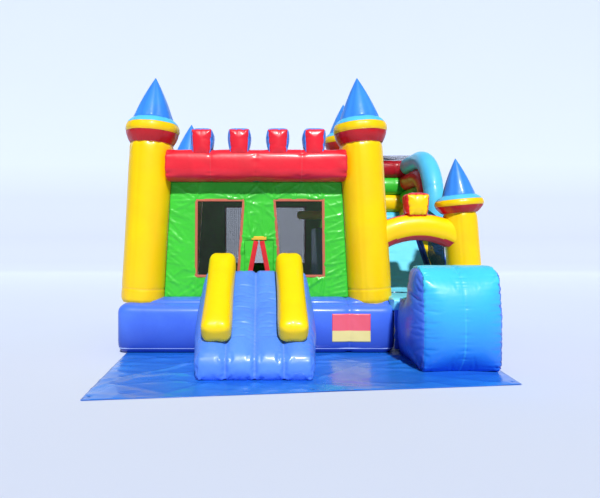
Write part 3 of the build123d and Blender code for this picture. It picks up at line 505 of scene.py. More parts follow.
def evaluated_mesh(obj):
    """The mesh of an object with its modifiers applied."""
    bpy.context.view_layer.update()
    return bpy.data.meshes.new_from_object(obj.evaluated_get(bpy.context.evaluated_depsgraph_get()))


def with_modifier(obj, name, kind, **settings):
    """Gives an object the mesh that one modifier makes of it."""
    modifier = obj.modifiers.new(name, kind)
    for key, value in settings.items():
        setattr(modifier, key, value)
    mesh = evaluated_mesh(obj)
    obj.modifiers.clear()
    obj.data = mesh
    return mesh


def planes_gap(points, planes):
    """Distance to the nearest sewn plane (axis, value), and the foot points on it."""
    gap = np.full(len(points), FAR)
    feet = points.copy()
    for axis, value in planes:
        off = np.abs(points[:, axis] - value)
        nearer = off < gap
        gap[nearer] = off[nearer]
        feet[nearer] = points[nearer]
        feet[nearer, axis] = value
    return gap, feet


def puffed(name, node, material, voxel=0.02, soften=6, bulge=0.02, spread=0.22, pinch=0.006, fold=0.014,
           fold_reach=0.12, fold_pitch=0.11, planes=(), plane_pinch=0.016, plane_width=0.03, seed=1,
           inflate_with=None, pick=None, hold_planes=True):
    """An inflated chamber from a CAD node's outer skin: it swells between its seams and puckers at them."""
    skins = cad_skins(node)
    seams = seam_points(skins.edges, 0.008)
    rough = bpy.data.meshes.new(name)
    skins.to_mesh(rough)
    skins.free()
    obj = bpy.data.objects.new(name, rough)
    bpy.context.scene.collection.objects.link(obj)
    mesh = with_modifier(obj, "remesh", "REMESH", mode="VOXEL", voxel_size=voxel)
    points, edges = get_points(mesh), read(mesh.edges, "vertices", 2, np.int64)
    foot = points[:, 2].min()
    nearest = nearest_points(points, seams)
    gap = np.linalg.norm(points - nearest, axis=1)
    points = relaxed(points, edges, soften)
    set_points(mesh, points)
    choice = None if pick is None else pick(*face_places(mesh))
    plane_gap, feet = planes_gap(points, planes)
    if inflate_with:
        inflate(obj, np.minimum(gap, plane_gap) if hold_planes else gap, **inflate_with)
        points = get_points(mesh)
    normals = read(mesh.vertex_normals, "vector", 3)
    swell = bulge * (1 - np.exp(-(gap / spread) ** 1.5))
    swell *= 1 - 0.55 * bell(plane_gap, 3 * plane_width)
    sink = pinch * bell(gap, 0.018) + plane_pinch * bell(plane_gap, plane_width)
    sink += fold * ridges(nearest, fold_pitch, seed) * np.exp(-gap / fold_reach)
    sink += 0.5 * fold * ridges(feet, fold_pitch, seed + 50) * np.exp(-plane_gap / (0.6 * fold_reach))
    points = points + normals * (swell - sink)[:, None]
    if foot < ON_THE_GROUND:
        points[:, 2] = np.maximum(points[:, 2], foot)
    set_points(mesh, points)
    dress(mesh, material, choice, np.minimum(gap, plane_gap), nearest.sum(axis=1))
    return obj


def simulate(obj, gap, hold, weakest, growth, frames, gravity, **values):
    """Runs cloth that is held at its seams and cut a little large, and keeps the shape it settles into."""
    held = obj.vertex_groups.new(name="held")
    weights = bell(gap, hold)
    for index in np.nonzero(weights > weakest)[0]:
        held.add([int(index)], float(weights[index]), "REPLACE")
    cloth = obj.modifiers.new("cloth", "CLOTH")
    for key, value in values.items():
        setattr(cloth.settings, key, value)
    cloth.settings.shrink_min = -growth
    cloth.settings.shrink_max = -growth
    cloth.settings.vertex_group_mass = "held"
    cloth.settings.effector_weights.gravity = gravity
    cloth.collision_settings.use_collision = False
    cloth.point_cache.frame_start = 1
    cloth.point_cache.frame_end = frames
    for number in range(1, frames + 1):
        bpy.context.scene.frame_set(number)
    settled = evaluated_mesh(obj)
    points = get_points(settled)
    obj.modifiers.clear()
    obj.vertex_groups.clear()
    bpy.data.meshes.remove(settled)
    bpy.context.scene.frame_set(1)
    set_points(obj.data, points)


def inflate(obj, gap, growth, pressure, frames):
    """Blows a chamber up between its seams, so that it gathers there."""
    simulate(
        obj, gap, 0.014, 0.02, growth, frames, 0.0, quality=4, mass=0.25, tension_stiffness=18.0,
        compression_stiffness=18.0, shear_stiffness=6.0, bending_stiffness=0.35, tension_damping=8.0,
        compression_damping=8.0, air_damping=4.0, use_pressure=True, uniform_pressure_force=pressure,
    )


def drape(obj, gap, growth, frames, bending):
    """Lets a cloth panel settle between the edges it is sewn along."""
    simulate(
        obj, gap, 0.012, 0.05, growth, frames, 1.0, quality=5, mass=0.3, tension_stiffness=25.0,
        compression_stiffness=25.0, shear_stiffness=8.0, bending_stiffness=bending, air_damping=3.0,
    )


# ------------------------------------------------------------------ towers
LEANS = {"front_left": 3.3, "front_right": -3.3, "back_left": 3.3, "back_right": 0.0, "slide": -4.5}
# bands of a tower's head: height, foot and top radius
HEAD_BANDS = {
    "collar": (0.165, 0.323, 0.390), "crown": (0.126, 0.390, 0.378),
    "shoulder": (0.080, 0.378, 0.300), "spire": (0.625, 0.300, 0.004),
}
SLIDE_BANDS = {
    "collar": (0.108, 0.250, 0.343), "crown": (0.091, 0.343, 0.331),
    "shoulder": (0.068, 0.331, 0.240), "spire": (0.555, 0.240, 0.004),
}
# finish, node, swell between the seams, depth and reach of the folds
BAND_LOOKS = {
    "collar": (DEEP_RED, "tower_collars", 0.012, 0.012, 0.10),
    "crown": (YELLOW, "tower_crowns", 0.016, 0.007, 0.05),
    "shoulder": (CYAN, "tower_shoulders", 0.010, 0.009, 0.06),
    "spire": (SPIRE_BLUE, "tower_spires", 0.0, 0.006, 0.16),
}
AROUND = 96     # points round a tower


def tower_frame(name):
    """A tower's placing, its radius and the height of its column, from the CAD column."""
    low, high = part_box(f"{name}_column")
    lean = math.radians(LEANS[name])
    radius = (high.y - low.y) / 2
    foot_x = low.x + radius * math.cos(lean) if lean >= 0 else high.x - radius * math.cos(lean)
    foot_z = low.z + radius * math.sin(abs(lean))
    height = (high.z - low.z - 2 * radius * math.sin(abs(lean))) / math.cos(lean)
    place = Matrix.Translation((foot_x, (low.y + high.y) / 2, foot_z)) @ Matrix.Rotation(lean, 4, "Y")
    return place, radius, height


def turned(name, heights, radii, place, material, gap, sink, gores=0, gore_depth=0.0):
    """A body of revolution in a tower's own frame, with its seams and folds."""
    angle = np.linspace(0, 2 * math.pi, AROUND, endpoint=False)
    radii = radii[:, None] * np.ones((1, AROUND))
    if gores:
        radii = radii * (1 - gore_depth * np.abs(np.cos(gores * angle / 2 + 0.4)) ** 6)[None, :]
    radii = np.maximum(radii - sink(angle[None, :]), 0.002)
    points = np.stack([
        radii * np.cos(angle), radii * np.sin(angle), heights[:, None] * np.ones((1, AROUND)),
    ], axis=2)
    obj = skin(name, points[:, ::-1], material, gap=gap[:, None], run=angle[None, ::-1] * radii.mean())
    obj.data.transform(place)
    return obj


def column(name, seed):
    """The yellow column of one tower: a foot seam, a ring seam and two seams up its sides."""
    place, radius, height = tower_frame(name)
    settle = 0.018 if name == "slide" else 0.085
    rise = np.concatenate([np.linspace(-settle, 0.22, 22), np.linspace(0.25, height - 0.16, 48),
                           np.linspace(height - 0.14, height + 0.001, 14)])
    foot, ring, head = np.abs(rise + settle), np.abs(rise - 0.125), np.abs(height - rise)
    radii = radius - 0.030 * np.exp(-(foot / 0.028) ** 1.5) - 0.008 * bell(ring, 0.012)
    radii = radii - 0.016 * np.exp(-(head / 0.03) ** 1.5) + 0.004 * np.sin(rise * 2.1 + seed)
    girth = 2 * math.pi * radius

    def sink(angle):
        run = angle * radius
        folds = pucker(run, head[:, None], girth, 0.012, 0.22, 0.16, seed)
        folds += pucker(run, foot[:, None], girth, 0.010, 0.12, 0.12, seed + 7)
        folds += pucker(run, ring[:, None], girth, 0.004, 0.10, 0.10, seed + 9)
        for side_seam in (4.35, 1.2):
            folds += 0.006 * bell((angle - side_seam) * radius, 0.012)
        return folds

    gap = np.minimum(np.minimum(foot, ring), head)
    obj = turned(f"{name}_tower_column", rise, radii, place, YELLOW, gap, sink)
    return place_piece(obj, f"{name}_column", fill=1.0)


def tower_head(name, seed):
    """The red, yellow, cyan and blue bands of one tower's head."""
    place, _, height = tower_frame(name)
    level = height + 0.001
    bands = SLIDE_BANDS if name == "slide" else HEAD_BANDS
    share = np.linspace(0, 1, 26)
    for index, (band, (tall, foot_r, top_r)) in enumerate(bands.items()):
        material, node, swell, deep, reach = BAND_LOOKS[band]
        rise = share * tall
        radii = foot_r + (top_r - foot_r) * share + swell * (1 - np.abs(2 * share - 1) ** 2.6)
        edge, gores, gore_depth = np.minimum(rise, tall - rise), 8, 0.018
        if band == "spire":
            radii = foot_r * (1 - share) ** 0.96 + 0.012 * np.sin(math.pi * share) + 0.004
            radii[0] -= 0.006
            edge, gores, gore_depth = rise, 6, 0.05

        def sink(angle):
            girth = 2 * math.pi * foot_r
            return pucker(angle * foot_r, edge[:, None], girth, deep, reach, 0.10, seed * 5 + index)

        spin = place @ Matrix.Translation((0, 0, level))
        obj = turned(f"{name}_tower_{band}", rise, radii, spin, material, edge, sink, gores, gore_depth)
        place_piece(obj, node, fill=1.0)
        level += tall + 0.0006


for seed, name in enumerate(LEANS):
    column(name, seed * 11 + 3)
    tower_head(name, seed * 17 + 5)


# ------------------------------------------------------------------ beams
def beam_ends(node, along_x=True, grow=0.0):
    """The two end points of a beam's axis and its radius, from its CAD solid."""
    low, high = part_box(node)
    y, z, radius = (low.y + high.y) / 2, (low.z + high.z) / 2, (high.z - low.z) / 2
    if along_x:
        return (low.x - grow, y, z), (high.x + grow, y, z), radius
    return (low.x + radius, low.y - grow, z), (high.x - radius, high.y + grow, z), radius


QUARTERS = (0.25, 0.5, 0.75)
start, end, radius = beam_ends("front_beam", grow=0.085)
beam = sausage("front_wall_beam", [start, end], radius * 1.01, RED, 80, 0.022, 0.05, QUARTERS, 21,
               pinch=0.006, fold=0.024, squareness=2.9, end_power=3.2)
place_piece(beam, "front_beam", fill=0.95)
for seed, (node, along_x) in enumerate((("back_beam", True), ("left_beam", False), ("right_beam", False))):
    start, end, radius = beam_ends(node, along_x, 0.02)
    beam = sausage(f"{node}_tube", [start, end], radius, RED, 56, 0.035, 0.16, QUARTERS, 40 + seed,
                   pinch=0.009, fold=0.014, squareness=2.2, end_power=2.0)
    place_piece(beam, node, fill=0.95)


# ------------------------------------------------------------------ padded pieces
BLOW = {"growth": 0.05, "pressure": 5.0, "frames": 20}


def place_puffed(name, node, material, body="castle", fill=1.0, **options):
    """Makes a chamber from a CAD node and puts it in its place."""
    return place_piece(puffed(name, node, material, **options), node, body=body, fill=fill)


def merlon_finish(centres, facing):
    """Red fronts and blue sides on the castle's merlons, yellow and red on the slide's."""
    return (facing[:, 1] > -0.72) * 1 + 2 * (centres[:, 0] > 1.8)


base = place_puffed(
    "castle_base_chamber", "castle_base", ROYAL, voxel=0.028, soften=8, bulge=0.018, spread=0.18,
    planes=[(0, -0.69), (0, 0.69), (0, 1.33)], plane_pinch=0.012, fold=0.014, fold_pitch=0.09, seed=3,
)


def rounded_rim(obj, half=1.98, top=0.778, reach=0.38, drop=0.20):
    """Lets the top of the base fall away to its sides, as the top of a blown-up tube does."""
    points = get_points(obj.data)
    plan = np.abs(np.minimum(points[:, :2], [0, 99]))
    size = (plan ** 8).sum(axis=1) ** (1 / 8)
    inward = np.clip(half - size, 0, reach)
    below = np.clip(top - points[:, 2], 0, drop)
    across, upward = 1 - inward / reach, 1 - below / drop
    share = np.maximum(across, upward) / np.maximum(np.hypot(across, upward), 1e-6)
    moved = (inward < reach) & (below < drop)
    shift = np.where(moved, reach * across * (1 - share), 0)
    fall = np.where(moved, drop * upward * (1 - share), 0)
    heading = np.sign(points[:, :2]) * (plan / np.maximum(size, 0.1)[:, None]) ** 7
    points[:, :2] -= heading * shift[:, None]
    points[:, 2] -= fall
    set_points(obj.data, points)


rounded_rim(base)
place_puffed(
    "bounce_floor_cell", "bounce_floor", FLOOR_GREY, body="floor", fill=0.8, voxel=0.03, bulge=0.0,
    planes=[(0, x) for x in (-0.96, -0.55, -0.15, 0.25, 0.66)], plane_pinch=0.03, plane_width=0.09, seed=5,
)
place_puffed(
    "entrance_ramp_chamber", "entrance_ramp", RAMP_BLUE, voxel=0.018, soften=5, bulge=0.0,
    planes=[(0, x) for x in (-0.34, 0.0, 0.34)], plane_pinch=0.012, plane_width=0.02, fold=0.010,
    fold_reach=0.07, fold_pitch=0.07, seed=7, inflate_with={**BLOW, "growth": 0.045},
)
for seed, side in enumerate(("left", "right")):
    place_puffed(
        f"ramp_{side}_rail", f"ramp_rail_{side}", BRIGHT_YELLOW, voxel=0.016, soften=5, bulge=0.0,
        pinch=0.004, fold=0.012, fold_reach=0.07, fold_pitch=0.07, seed=11 + seed,
        inflate_with={**BLOW, "growth": 0.03, "frames": 14},
    )
place_puffed(
    "slide_stopper_chamber", "slide_stopper", [STOPPER_CYAN, ROYAL], voxel=0.016, soften=5, bulge=0.0,
    planes=[(0, 2.52)], plane_pinch=0.003, plane_width=0.010, fold=0.022, fold_reach=0.085, fold_pitch=0.045,
    seed=17, hold_planes=False, inflate_with={**BLOW, "growth": 0.035, "pressure": 3.0},
    pick=lambda centres, facing: (np.abs(facing[:, 0]) > 0.72) * 1,
)
place_puffed(
    "merlon_chambers", "merlons", [RED, SPIRE_BLUE, YELLOW, RED], voxel=0.012, soften=4, bulge=0.034,
    spread=0.07, fold=0.012, fold_reach=0.05, fold_pitch=0.06, seed=19, pick=merlon_finish,
)

# the arch over the slide, yellow with red along its top and its underside
ARCH_R, ARCH_MIDDLE, ARCH_HALF, ARCH_Y, ARCH_TOP, ARCH_RISE = 0.200, 2.43, 0.60, -1.53, 1.815, 0.165
arch_path = [
    (ARCH_MIDDLE + ARCH_HALF * share, ARCH_Y, ARCH_TOP - ARCH_RISE * share * share)
    for share in np.linspace(-1, 1, 25)
]
arch = sausage("slide_arch_chamber", arch_path, ARCH_R, [YELLOW, RED], 72, 0.018, 0.03, (), 23,
               fold=0.016, squareness=2.4)
facing = face_places(arch.data)[1]
arch_red = (facing[:, 2] < -0.55) | (facing[:, 2] > 0.90)
arch.data.polygons.foreach_set("material_index", arch_red.astype(np.int32))
place_piece(arch, "slide_arch", fill=1.0)

# the slide's body, pushed up against the base on its left, and the tube under the front edge of the bed
BODY_PUSH, BODY_LEFT, BODY_BLEND = 0.06, 2.06, 0.05
slide_body = place_puffed(
    "slide_body_chamber", "slide_body", [ROYAL, BED_CYAN], voxel=0.03, soften=4, bulge=0.006, spread=0.10,
    seed=29, pick=lambda centres, facing: (facing[:, 2] > 0.25) * 1,
)
body_points = get_points(slide_body.data)
body_points[:, 0] -= BODY_PUSH * np.clip((BODY_LEFT - body_points[:, 0]) / BODY_BLEND, 0, 1)
set_points(slide_body.data, body_points)
LANDING_Y, LANDING_Z, LANDING_R, LANDING_DEPTH = -1.56, 0.70, 0.10, 4.6
landing = sausage(
    "slide_landing_chamber", [(1.93, LANDING_Y, LANDING_Z), (3.02, LANDING_Y, LANDING_Z)], LANDING_R, BED_CYAN,
    72, 0.03, 0.04, (0.33, 0.66), 97, pinch=0.005, squareness=5.0, depth_share=LANDING_DEPTH, end_power=3.0,
)
place_piece(landing, "slide_body", fill=1.0)


def side_wall_finish(centres, facing):
    """Painted navy shadow on the side wall's inner face beside the bed, and a yellow strip along the top of
    the right side wall.
    """
    right = centres[:, 0] > 2.9
    top = right & (facing[:, 2] > 0.5) & (centres[:, 0] < 3.12)
    return np.where(top, 2, np.where(right & (facing[:, 0] < -0.6), 1, 0))


place_puffed(
    "slide_side_chambers", "slide_side_walls", [ROYAL, GAP_SHADOW_NAVY, YELLOW], voxel=0.026, soften=4, bulge=0.012,
    seed=31, pick=side_wall_finish,
)
place_puffed("slide_rail_tubes", "slide_rails", YELLOW, voxel=0.012, soften=4, bulge=0.0, fold=0.006, seed=33)
BAR_Y, BAR_R, BOW_X, BOW_R, BOW_BACK = 1.68, 0.190, 3.13, 0.176, 1.84
BOW_CENTRE = (0.75, 2.25)
# finish, height of the bar, radius of the bow, height of its foot; no radius: a level tube at that height
GUARDS = {
    "guard_red": (RED, 3.11, 0.57, 1.985), "guard_green": (GREEN, 2.75, 0.24, 2.14),
    "guard_yellow": (YELLOW, 2.39, None, 2.15), "guard_cyan": (CYAN, 2.03, 0.90, 1.66),
}


def bow_path(radius, foot):
    """Level at the back, a quarter bow at the front, then straight down to its foot."""
    y, z = BOW_CENTRE
    angles = np.linspace(0, math.pi / 2, 24)
    turn = [(BOW_X, y - radius * math.sin(angle), z + radius * math.cos(angle)) for angle in angles]
    return [(BOW_X, BOW_BACK, z + radius)] + turn + [(BOW_X, y - radius, foot)]


for seed, (node, (material, bar_z, bow_radius, foot)) in enumerate(GUARDS.items()):
    bar = sausage(f"{node}_bar", [(2.10, BAR_Y, bar_z), (3.12, BAR_Y, bar_z)], BAR_R, material, 56, 0.022,
                  0.05, QUARTERS, 137 + seed, pinch=0.007, squareness=2.3)
    place_piece(bar, node, fill=1.0)
    if bow_radius is None:
        path, shares = [(BOW_X, BOW_BACK, foot), (BOW_X, BOW_CENTRE[0], foot)], (0.5,)
    else:
        path, shares = bow_path(bow_radius, foot), (0.2, 0.42, 0.72)
    bow = sausage(f"{node}_bow", path, BOW_R, material, 56, 0.026, 0.07, shares, 147 + seed, pinch=0.007,
                  up_hint=(1, 0, 0))
    place_piece(bow, node, fill=1.0)
place_puffed("climb_slope_chamber", "climb_slope", CYAN, voxel=0.026, bulge=0.02, seed=43)
place_puffed("climb_grab_roll", "climb_roll", YELLOW, voxel=0.012, soften=4, bulge=0.0, fold=0.008, seed=47)


# ------------------------------------------------------------------ cloth panels
PROBE = 0.05     # how far off a panel's plane its outline is felt for


def shell_corner(shell):
    """The lowest face centre of a shell, to sort shells by."""
    return tuple(round(value, 3) for value in min(tuple(face.calc_center_median()) for face in shell))


def panel_grid(shell, pitch):
    """Points and faces of an even grid over one flat panel, its normal, its seam points and its axes."""
    largest = max(shell, key=lambda face: face.calc_area())
    normal = largest.normal.copy()
    if normal.dot(Vector((-0.4, -1.0, 1.5))) < 0:
        normal.negate()
    along = Vector((0, 0, 1)) if abs(normal.z) < 0.7 else Vector((1, 0, 0))
    across = along.cross(normal).normalized()
    along = normal.cross(across).normalized()
    corners = np.array([vert.co for face in shell for vert in face.verts])
    seams = seam_points([edge for face in shell for edge in face.edges], 0.004)
    axes = np.array([across, along, normal])
    flat = corners @ axes.T
    level = (flat[:, 2].min() + flat[:, 2].max()) / 2
    low, high = flat.min(axis=0), flat.max(axis=0)
    counts = [max(2, int(round((high[axis] - low[axis]) / pitch)) + 1) for axis in (0, 1)]
    us, vs = (np.linspace(low[axis], high[axis], counts[axis]) for axis in (0, 1))
    tree = BVHTree.FromPolygons([tuple(corner) for corner in corners], polygon_ids(shell))
    keep = []
    for row in range(counts[0] - 1):
        for col in range(counts[1] - 1):
            middle = axes.T @ np.array([(us[row] + us[row + 1]) / 2, (vs[col] + vs[col + 1]) / 2, level])
            if tree.ray_cast(Vector(middle) + normal * PROBE, -normal, 2 * PROBE)[0]:
                keep.append((row, col))
    ids, points, faces = {}, [], []
    for row, col in keep:
        face = []
        for place in ((row, col), (row + 1, col), (row + 1, col + 1), (row, col + 1)):
            if place not in ids:
                ids[place] = len(points)
                points.append(axes.T @ np.array([us[place[0]], vs[place[1]], level]))
            face.append(ids[place])
        faces.append(face)
    return np.array(points), faces, np.array(normal), seams, axes


def polygon_ids(shell):
    """Corner numbers of each face when the corners are listed face by face."""
    faces, start = [], 0
    for face in shell:
        faces.append(list(range(start, start + len(face.verts))))
        start += len(face.verts)
    return faces


def border_mask(faces, count):
    """Which points lie on the border of a set of quads."""
    shared = {}
    for face in faces:
        for first, second in zip(face, face[1:] + face[:1]):
            key = (min(first, second), max(first, second))
            shared[key] = shared.get(key, 0) + 1
    border = np.zeros(count, bool)
    for (first, second), times in shared.items():
        if times == 1:
            border[[first, second]] = True
    return border


def panels(names, node, material, pitch=0.03, ruffle=0.006, body="castle", thickness=0.003,
           cloth=None, seed=1, shape=None, fold=0.010, spread=None):
    """Cloth panels cut to the outlines of a CAD node's flat solids, one piece per solid."""
    skins = cad_skins(node)
    for index, shell in enumerate(sorted(shells(skins.faces), key=shell_corner)):
        points, faces, normal, seams, axes = panel_grid(shell, pitch)
        border = border_mask(faces, len(points))
        nearest = nearest_points(points, seams)
        across = nearest - np.outer((nearest - points) @ normal, normal)
        points[border] = across[border]
        if spread is not None:
            points = spread(points)
        gap = np.linalg.norm(points - across, axis=1)
        obj = mesh_object(names[index], points, faces, material)
        if cloth:
            drape(obj, gap, **cloth)
            points = get_points(obj.data)
        wave = ridges(across, 0.13, seed + index) * np.exp(-gap / 0.22)
        soft = np.sin(points @ axes[0] * 9 + 3 * np.sin(points @ axes[1] * 2.3 + seed))
        lift = ruffle * soft * np.clip(gap / 0.15, 0, 1) + fold * wave * np.clip(gap / 0.03, 0, 1)
        if shape is not None:
            lift = lift + shape(points, gap)
        points = points + lift[:, None] * normal
        set_points(obj.data, points)
        solid = with_modifier(obj, "thickness", "SOLIDIFY", thickness=thickness, offset=0.0)
        rim = np.full(len(solid.vertices) - 2 * len(gap), FAR)
        dress(solid, material, None, np.concatenate([gap, gap, rim]), get_points(solid).sum(axis=1))
        place_piece(obj, node, body=body)
    skins.free()


WINDOW_CORNERS = [
    (-0.90, 1.08), (-0.27, 1.08), (-0.19, 2.216), (-0.895, 2.216),
    (0.35, 1.08), (1.01, 1.08), (1.00, 2.216), (0.27, 2.216),
]
TAB_ENDS = [(-0.05, 1.64), (0.13, 1.64)]
DEEPEST_FOLD = 0.028


def off_line(first, second, place, heading):
    """How far along a line from a place each point lies, and how far off the line."""
    first, second = first - place[0], second - place[1]
    along = first * math.cos(heading) + second * math.sin(heading)
    return along, -first * math.sin(heading) + second * math.cos(heading)


def wall_folds(points, gap):
    """Folds of the slack front wall: they run out from the tab, the window corners and the sewn sides."""
    rng = np.random.default_rng(91)
    x, z = points[:, 0], points[:, 2]
    folds = []
    for place in TAB_ENDS * 2 + WINDOW_CORNERS:
        for _ in range(7):
            heading = rng.uniform(0, ROUGH_TURN)
            folds.append((place, heading, rng.uniform(0.16, 0.50), rng.uniform(0.008, 0.018)))
    for side in (-1, 1):
        for height in np.arange(0.85, 2.35, 0.09):
            heading = math.pi * (side > 0) + side * rng.uniform(0.1, 0.9)
            folds.append(((side * 1.36, height), heading, rng.uniform(0.2, 0.5), rng.uniform(0.007, 0.016)))
    for foot in np.arange(-1.25, 1.3, 0.09):
        folds.append(((foot, 0.77), rng.uniform(0.5, 2.6), rng.uniform(0.12, 0.4), rng.uniform(0.005, 0.013)))
    for _ in range(230):
        place = (rng.uniform(-1.35, 1.35), rng.uniform(0.8, 2.42))
        heading = rng.uniform(0, ROUGH_TURN)
        folds.append((place, heading, rng.uniform(0.07, 0.22), rng.uniform(0.005, 0.012)))
    lift = np.zeros(len(points))
    for place, heading, reach, high in folds:
        along, off = off_line(x, z, place, heading)
        off = off + 0.10 * along ** 2
        wide = 0.010 + 0.034 * np.clip(along, 0, None)
        start = np.clip(along / 0.05, 0, 1)
        lift += high * bell(off, wide) * bell(along, reach) * start
    return DEEPEST_FOLD * np.tanh(lift / DEEPEST_FOLD) * np.clip(gap / 0.02, 0, 1)


panels(["front_wall_panel"], "front_wall", GREEN, pitch=0.016, ruffle=0.004, fold=0.006, seed=51,
       cloth={"growth": 0.05, "frames": 26, "bending": 0.03}, shape=wall_folds)
panels(["back_wall_panel"], "back_wall", SIDE_GREEN, pitch=0.04, seed=53)
panels(["left_wall_panel"], "left_wall", SIDE_GREEN, pitch=0.04, seed=55)
panels(["right_wall_panel"], "right_wall", SIDE_GREEN, pitch=0.04, seed=57)
panels(["roof_panel"], "castle_roof", GREEN, pitch=0.05, seed=59)
panels(["window_net_a", "window_net_b", "window_net_c"], "window_meshes", NET, pitch=0.04, ruffle=0.0,
       fold=0.0, thickness=0.0012, seed=61)
panels(["slide_top_netting"], "slide_net", TOP_NET, pitch=0.03, ruffle=0.003, fold=0.0, thickness=0.0015,
       seed=63)
panels(["slide_side_netting"], "slide_side_mesh", SIDE_NET, pitch=0.03, ruffle=0.002, thickness=0.0015,
       seed=65)
panels(["window_tape_a", "window_tape_b", "window_tape_c"], "window_bindings", RUST_TAPE, pitch=0.0095,
       ruffle=0.0, fold=0.002, thickness=0.004, seed=67)
# what stands on the ground sheet: low x, low y, high x, high y
FOOTPRINTS = [
    (-1.98, -1.98, 1.98, 1.98), (1.9, -1.98, 3.3, 1.98),
    (2.04, -3.09, 3.0, -1.9), (-0.675, -3.46, 0.675, -1.9),
]


def sheet_lift(points, gap):
    """Creases and slack of the ground sheet, flat under whatever stands on it."""
    rng = np.random.default_rng(77)
    clear = np.full(len(points), FAR)
    for low_x, low_y, high_x, high_y in FOOTPRINTS:
        off_x = np.maximum(np.maximum(low_x - points[:, 0], points[:, 0] - high_x), 0)
        off_y = np.maximum(np.maximum(low_y - points[:, 1], points[:, 1] - high_y), 0)
        clear = np.minimum(clear, np.hypot(off_x, off_y))
    lift = np.zeros(len(points))
    creases = [((-1.35, -3.2), 0.92, 1.25, 0.030, 0.022)]
    for _ in range(150):
        x = rng.uniform(-2.0, 3.3)
        place = (x, rng.uniform(-4.2, -1.9) if rng.random() < 0.7 else rng.uniform(-1.9, 2.2))
        creases.append((place, rng.normal(0.15, 0.5), rng.uniform(0.15, 0.7), rng.uniform(0.03, 0.07),
                        rng.uniform(0.003, 0.012)))
    for place, heading, long, wide, high in creases:
        along, off = off_line(points[:, 0], points[:, 1], place, heading)
        off = off + 0.03 * np.sin(along * 5 + place[0])
        lift += high * bell(along, long) * np.exp(-np.abs(off / wide) ** 1.6)
    lift += 0.004 * (1 + np.sin(points[:, 0] * 2.2 + 1.3 * np.sin(points[:, 1] * 1.7)))
    return lift * np.clip((clear - 0.02) / 0.10, 0, 1) * (0.4 + 0.6 * np.clip(gap / 0.1, 0, 1))


panels(["ground_sheet_panel"], "ground_sheet", TARP, pitch=0.028, ruffle=0.0, fold=0.0, seed=69,
       shape=sheet_lift)


# ------------------------------------------------------------------ door, slide bed, small pieces
def tape(name, start, end, width, material, body, lift=0.004, seed=1, thickness=0.004, keep=None):
    """A flat strap that hangs from start to end in front of the wall, a little rumpled."""
    start, end = np.array(start, float), np.array(end, float)
    length = np.linalg.norm(end - start)
    forward = np.array([0.0, -1.0, 0.0])
    side = np.cross((end - start) / length, forward)
    rows, cols = int(length / 0.012), 7
    along = np.linspace(0, 1, rows)[:, None]
    off = np.linspace(-0.5, 0.5, cols)[None, :]
    bulge = lift * (1 + np.sin(along * 17 + seed) * 0.5 + np.sin(along * 41 + 2 * seed) * 0.3)
    bulge = bulge * (1 - (2 * off) ** 4 * 0.5)
    points = start + along[..., None] * (end - start) + off[..., None] * side * width
    points = points + bulge[..., None] * forward
    if keep is not None:
        points[..., 0] = np.clip(points[..., 0], *keep)
    obj = mesh_object(name, points.reshape(-1, 3), grid_faces(rows, cols), material)
    with_modifier(obj, "thickness", "SOLIDIFY", thickness=thickness)
    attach(obj, body)
    return obj


wall_y = (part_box("front_wall")[0].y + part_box("front_wall")[1].y) / 2
STRAP_W, FLAP_MEET, FLAP_SLOPE, DOOR_X = 0.072, 0.008, 0.187, 0.04
for side, name in ((-1, "left"), (1, "right")):
    low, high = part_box(f"door_flap_{name}")
    top = (DOOR_X + side * (FLAP_MEET + STRAP_W / 2), wall_y - 0.008, high.z - 0.004)
    drop = high.z - low.z
    foot = (top[0] + side * FLAP_SLOPE * drop, wall_y - 0.008, low.z + 0.01)
    tape(f"door_strap_{name}", top, foot, STRAP_W, RED_TAPE, f"door_{name}", seed=3 + side,
         keep=(low.x + 0.002, high.x - 0.002))

low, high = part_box("door_tab")
tab = tape("door_tab_tape", (low.x, low.y, (low.z + high.z) / 2), (high.x, low.y, (low.z + high.z) / 2),
           high.z - low.z, GOLD_TAPE, "castle", lift=0.006, seed=9, thickness=0.005)
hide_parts("door_tab")


SLOPE, SLOPE_TOP = math.radians(41.0), 0.40


def bed_line():
    """The slide bed's line from its foot to the back of the platform, as (y, z) points 15 mm apart."""
    low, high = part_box("slide_bed")
    foot = SLOPE_TOP - (high.z - low.z) / math.tan(SLOPE)
    corners = np.array([(low.y, low.z), (foot, low.z), (SLOPE_TOP, high.z), (high.y, high.z)])
    legs = np.linalg.norm(np.diff(corners, axis=0), axis=1)
    marks = np.concatenate([[0], np.cumsum(legs)])
    along = np.arange(0, marks[-1], 0.015)
    line = np.stack([np.interp(along, marks, corners[:, axis]) for axis in (0, 1)], axis=1)
    for _ in range(60):
        line[1:-1] += 0.5 * ((line[:-2] + line[2:]) / 2 - line[1:-1])
    return line


line = bed_line()
low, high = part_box("slide_bed")
xs = np.linspace(low.x, high.x, 48)
grid_y, grid_x = np.meshgrid(np.arange(len(line)), xs, indexing="ij")
rng = np.random.default_rng(81)
rumple = np.zeros(grid_x.shape)
for _ in range(70):
    row, middle = rng.uniform(0, len(line)), rng.uniform(low.x, high.x)
    tilt, wide = rng.normal(0, 9.0), rng.uniform(1.0, 2.6)
    reach, tall = rng.uniform(0.08, 0.35), rng.uniform(0.003, 0.010)
    off = grid_y - row - tilt * (grid_x - middle)
    rumple += tall * bell(off, wide) * bell(grid_x - middle, reach)
bed_points = np.stack([grid_x, line[grid_y, 0], line[grid_y, 1] + rumple], axis=2)
bed_faces = grid_faces(len(line), len(xs))[:, ::-1]
GAP_SHADOW_COLS = 3     # columns of the bed, on its right, that take the painted navy shadow of the gap by the side wall
in_gap_shadow = (np.tile(np.arange(len(xs) - 1), len(line) - 1) >= len(xs) - 1 - GAP_SHADOW_COLS) * 1
